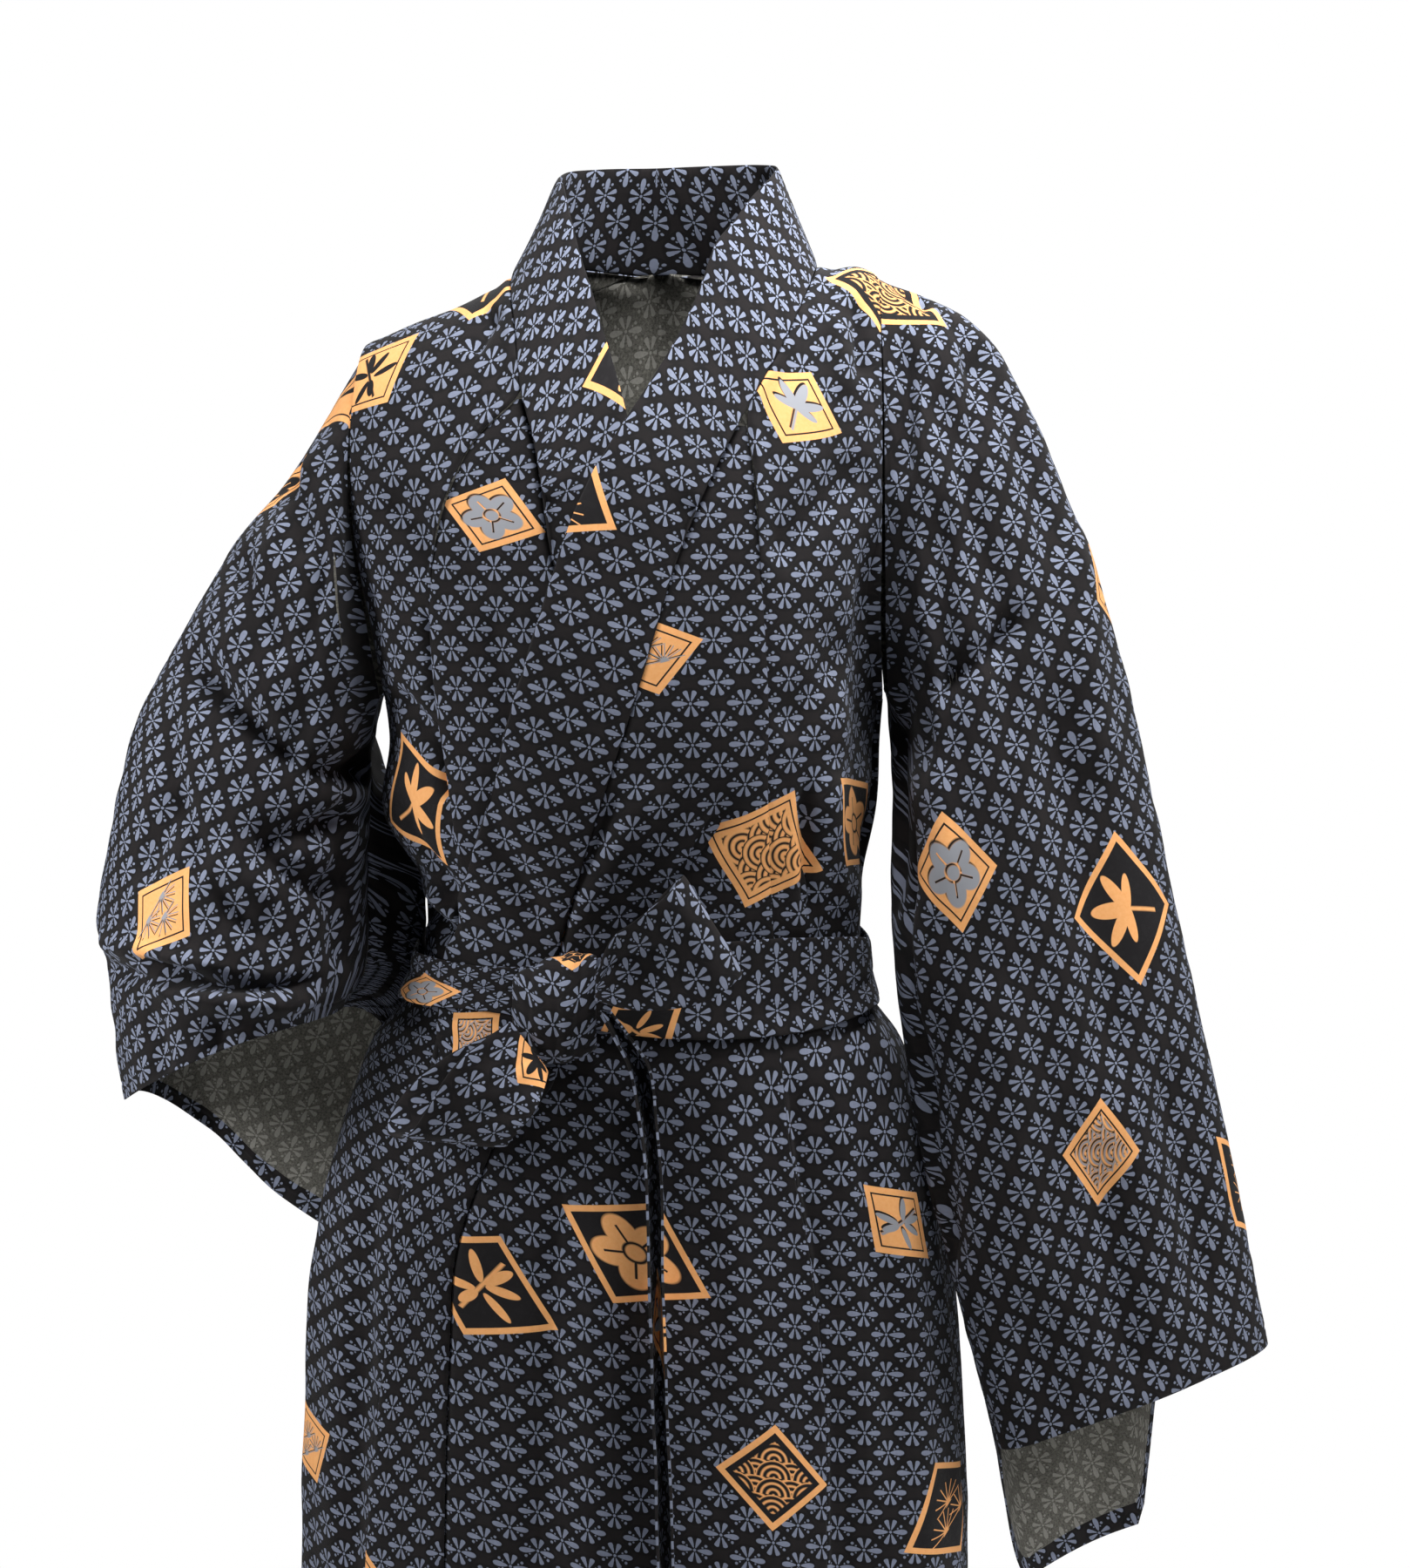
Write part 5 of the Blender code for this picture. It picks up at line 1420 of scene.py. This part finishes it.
sleeveLeftLook = {
    "seed": 5,
    "weftWay": (0.37, -0.93),
    "backSwell": 0.0,
    "hang": (0.36, 0.42, 0.85),  # where the back's lower edge starts to hang, hangs full and ends
    "front": [
        (152, -40, 146, -130, 8, -4), (192, -46, 188, -112, 9, -3.4), (224, -190, 158, -240, 7, -4.2, 4),
        (174, -120, 162, -300, 14, -4.5), (228, -215, 275, -475, 16, -5), (196, -380, 223, -600, 16, 4.5),
        (162, -405, 178, -575, 12, -4.5), (294, -430, 331, -600, 12, -3.6),
        (255, -480, 285, -640, 14, -3.6), (240, -140, 262, -300, 12, 3.4), (145, -10, 170, -30, 4, -2.8),
        (140, -200, 150, -380, 8, -4),
    ],
    "back": [
        (170, -80, 165, -240, 12, -4), (230, -180, 270, -430, 15, -4.5), (190, -300, 215, -560, 14, 4),
        (165, -400, 180, -600, 11, -4), (290, -420, 325, -620, 12, -3.6),
        (235, -520, 250, -740, 14, -3.6),
    ],
    "badges": [
        (63, -131, -38, 40, 29, "black", 3), (383, -41, 13, 34, 24, "silver", 0),
        (440, -128, 11, 44, 32, "black", 2), (265, -195, -15, 31, 22, "orange", 1),
        (560, -60, 20, 31, 22, "silver", 3), (620, -160, -30, 44, 32, "black", 4),
    ],
}
sleeveLeft = sleeveTube("sleeveLeft", 1, sleeves["left"], sleeves["leftFolds"], sleeveLeftLook)
declare(sleeveLeft, "sleeve_left")

sleeveRightLook = {
    "seed": 6,
    "weftWay": (-0.40, -0.917),
    "backSwell": 0.068,  # how far the back layer swells towards the body
    "hang": (0.0, 0.8, 0.8),
    "front": [
        (-283, -382, -168, -399, 6, -6, -4, 0.4), (-283, -393, -168, -408, 6, 4, -4),
        (-255, -215, -176, -285, 10, -7.5), (-180, -280, -137, -292, 9, -6),
        (-214, -323, -148, -312, 8, -6), (-214, -323, -155, -360, 8, -4.5),
        (-225, -160, -186, -226, 9, -3.2), (-247, -286, -274, -348, 8, -3),
        (-165, -150, -160, -270, 12, -1), (-240, -330, -190, -350, 12, 3.5),
        (-195, -110, -175, -170, 8, -2.8), (-265, -410, -255, -465, 8, -2.6),
        (-225, -410, -222, -450, 7, -2.6),
    ],
    "back": [
        (-190, -140, -215, -260, 10, -4), (-240, -240, -200, -320, 9, -4),
        (-270, -330, -210, -370, 9, -4), (-200, -360, -240, -460, 10, -3),
    ],
    "badges": [
        (130, 109, -114, 34, 24, "orange", 1), (441, 93, -171, 31, 22, "silver", 4),
        (183, 155, -135, 31, 22, "orange", 0), (250, -60, 30, 44, 32, "black", 3),
        (380, -150, -20, 31, 22, "silver", 2), (480, -40, 60, 36, 32, "orange", 1),
    ],
}
sleeveRight = sleeveTube("sleeveRight", -1, sleeves["right"], sleeves["rightFolds"], sleeveRightLook)
declare(sleeveRight, "sleeve_right")
print("sleeves sewn")

beltWrap = beltBand()
declare(beltWrap, "belt_wrap")
knotPiece = bowKnot()
declare(knotPiece, "belt_knot")
upperPiece = bowLoop("bowLoopUpper", bow["upper"])
declare(upperPiece, "belt_loop_upper")
lowerPiece = bowLoop("bowLoopLower", bow["lower"])
declare(lowerPiece, "belt_loop_lower")
longPiece = bowLongEnd()
declare(longPiece, "belt_end_long")
shortPiece = bowShortEnd()
declare(shortPiece, "belt_end_short")
print("belt and bow tied")

# plain pale floor and soft studio light
studio = {
    "floor": (0.86, 0.86, 0.85, 1),
    "floorWorn": (0.90, 0.90, 0.89, 1),
    "floorRoughness": 0.9,
    "floorHeight": -0.874,
    "floorReach": 1.4,
    "floorBack": 0.26,  # the floor ends behind the robe, where the white backdrop begins
    "backdrop": 1.0,  # how bright the empty studio looks
    "glow": 0.05,  # how much light it gives
}
# where each lamp stands, where it points, its size and its power
lamps = {
    "topLamp": ((0.08, -0.40, 0.70), (0.03, -0.10, -0.20), 0.35, 6),
    "shoulderLamp": ((0.20, -0.22, 0.55), (0.08, -0.08, -0.15), 0.30, 8.5),
    "leftLamp": ((-0.75, -0.30, -0.20), (-0.25, 0, -0.30), 0.30, 4.6),
    "rightLamp": ((0.85, -0.50, 0.05), (0.25, 0, -0.35), 0.40, 3),
    "farLamp": ((1.7, -0.22, 0.45), (0.1, 0, -0.30), 0.6, 12),
    "backLamp": ((0.6, 2.0, 1.3), (0, 0, -0.2), 1.4, 34),
}

reach, back, low = studio["floorReach"], studio["floorBack"], studio["floorHeight"]
floorMesh = bpy.data.meshes.new("floor")
corners = [(-reach, -reach, low), (reach, -reach, low), (reach, back, low), (-reach, back, low)]
floorMesh.from_pydata(corners, [], [(0, 1, 2, 3)])
floorFinish = Finish("paleFloor")
grain = floorFinish.node("TexNoise", {}, {"Scale": 6.0, "Detail": 2.0})
floorFinish.set("Base Color", floorFinish.mix(grain, studio["floor"], studio["floorWorn"]))
floorFinish.set("Roughness", studio["floorRoughness"])
floorMesh.materials.append(floorFinish.material)
addObject("floor", floorMesh)

world = bpy.data.worlds.new("studio")
world.use_nodes = True
sky = world.node_tree.nodes["Background"]
ray = world.node_tree.nodes.new("ShaderNodeLightPath")
seen = Wire(world.node_tree, ray.outputs["Is Camera Ray"])
plug(world.node_tree, seen * (studio["backdrop"] - studio["glow"]) + studio["glow"], sky.inputs["Strength"])
sky.inputs["Color"].default_value = (1, 1, 1, 1)
bpy.context.scene.world = world
bpy.context.scene.view_settings.view_transform = "Standard"

for name, (at, to, size, power) in lamps.items():
    lampData = bpy.data.lights.new(name, "AREA")
    lampData.size = size
    lampData.energy = power
    addObject(name, lampData, at, to).visible_camera = False
print("studio lit")
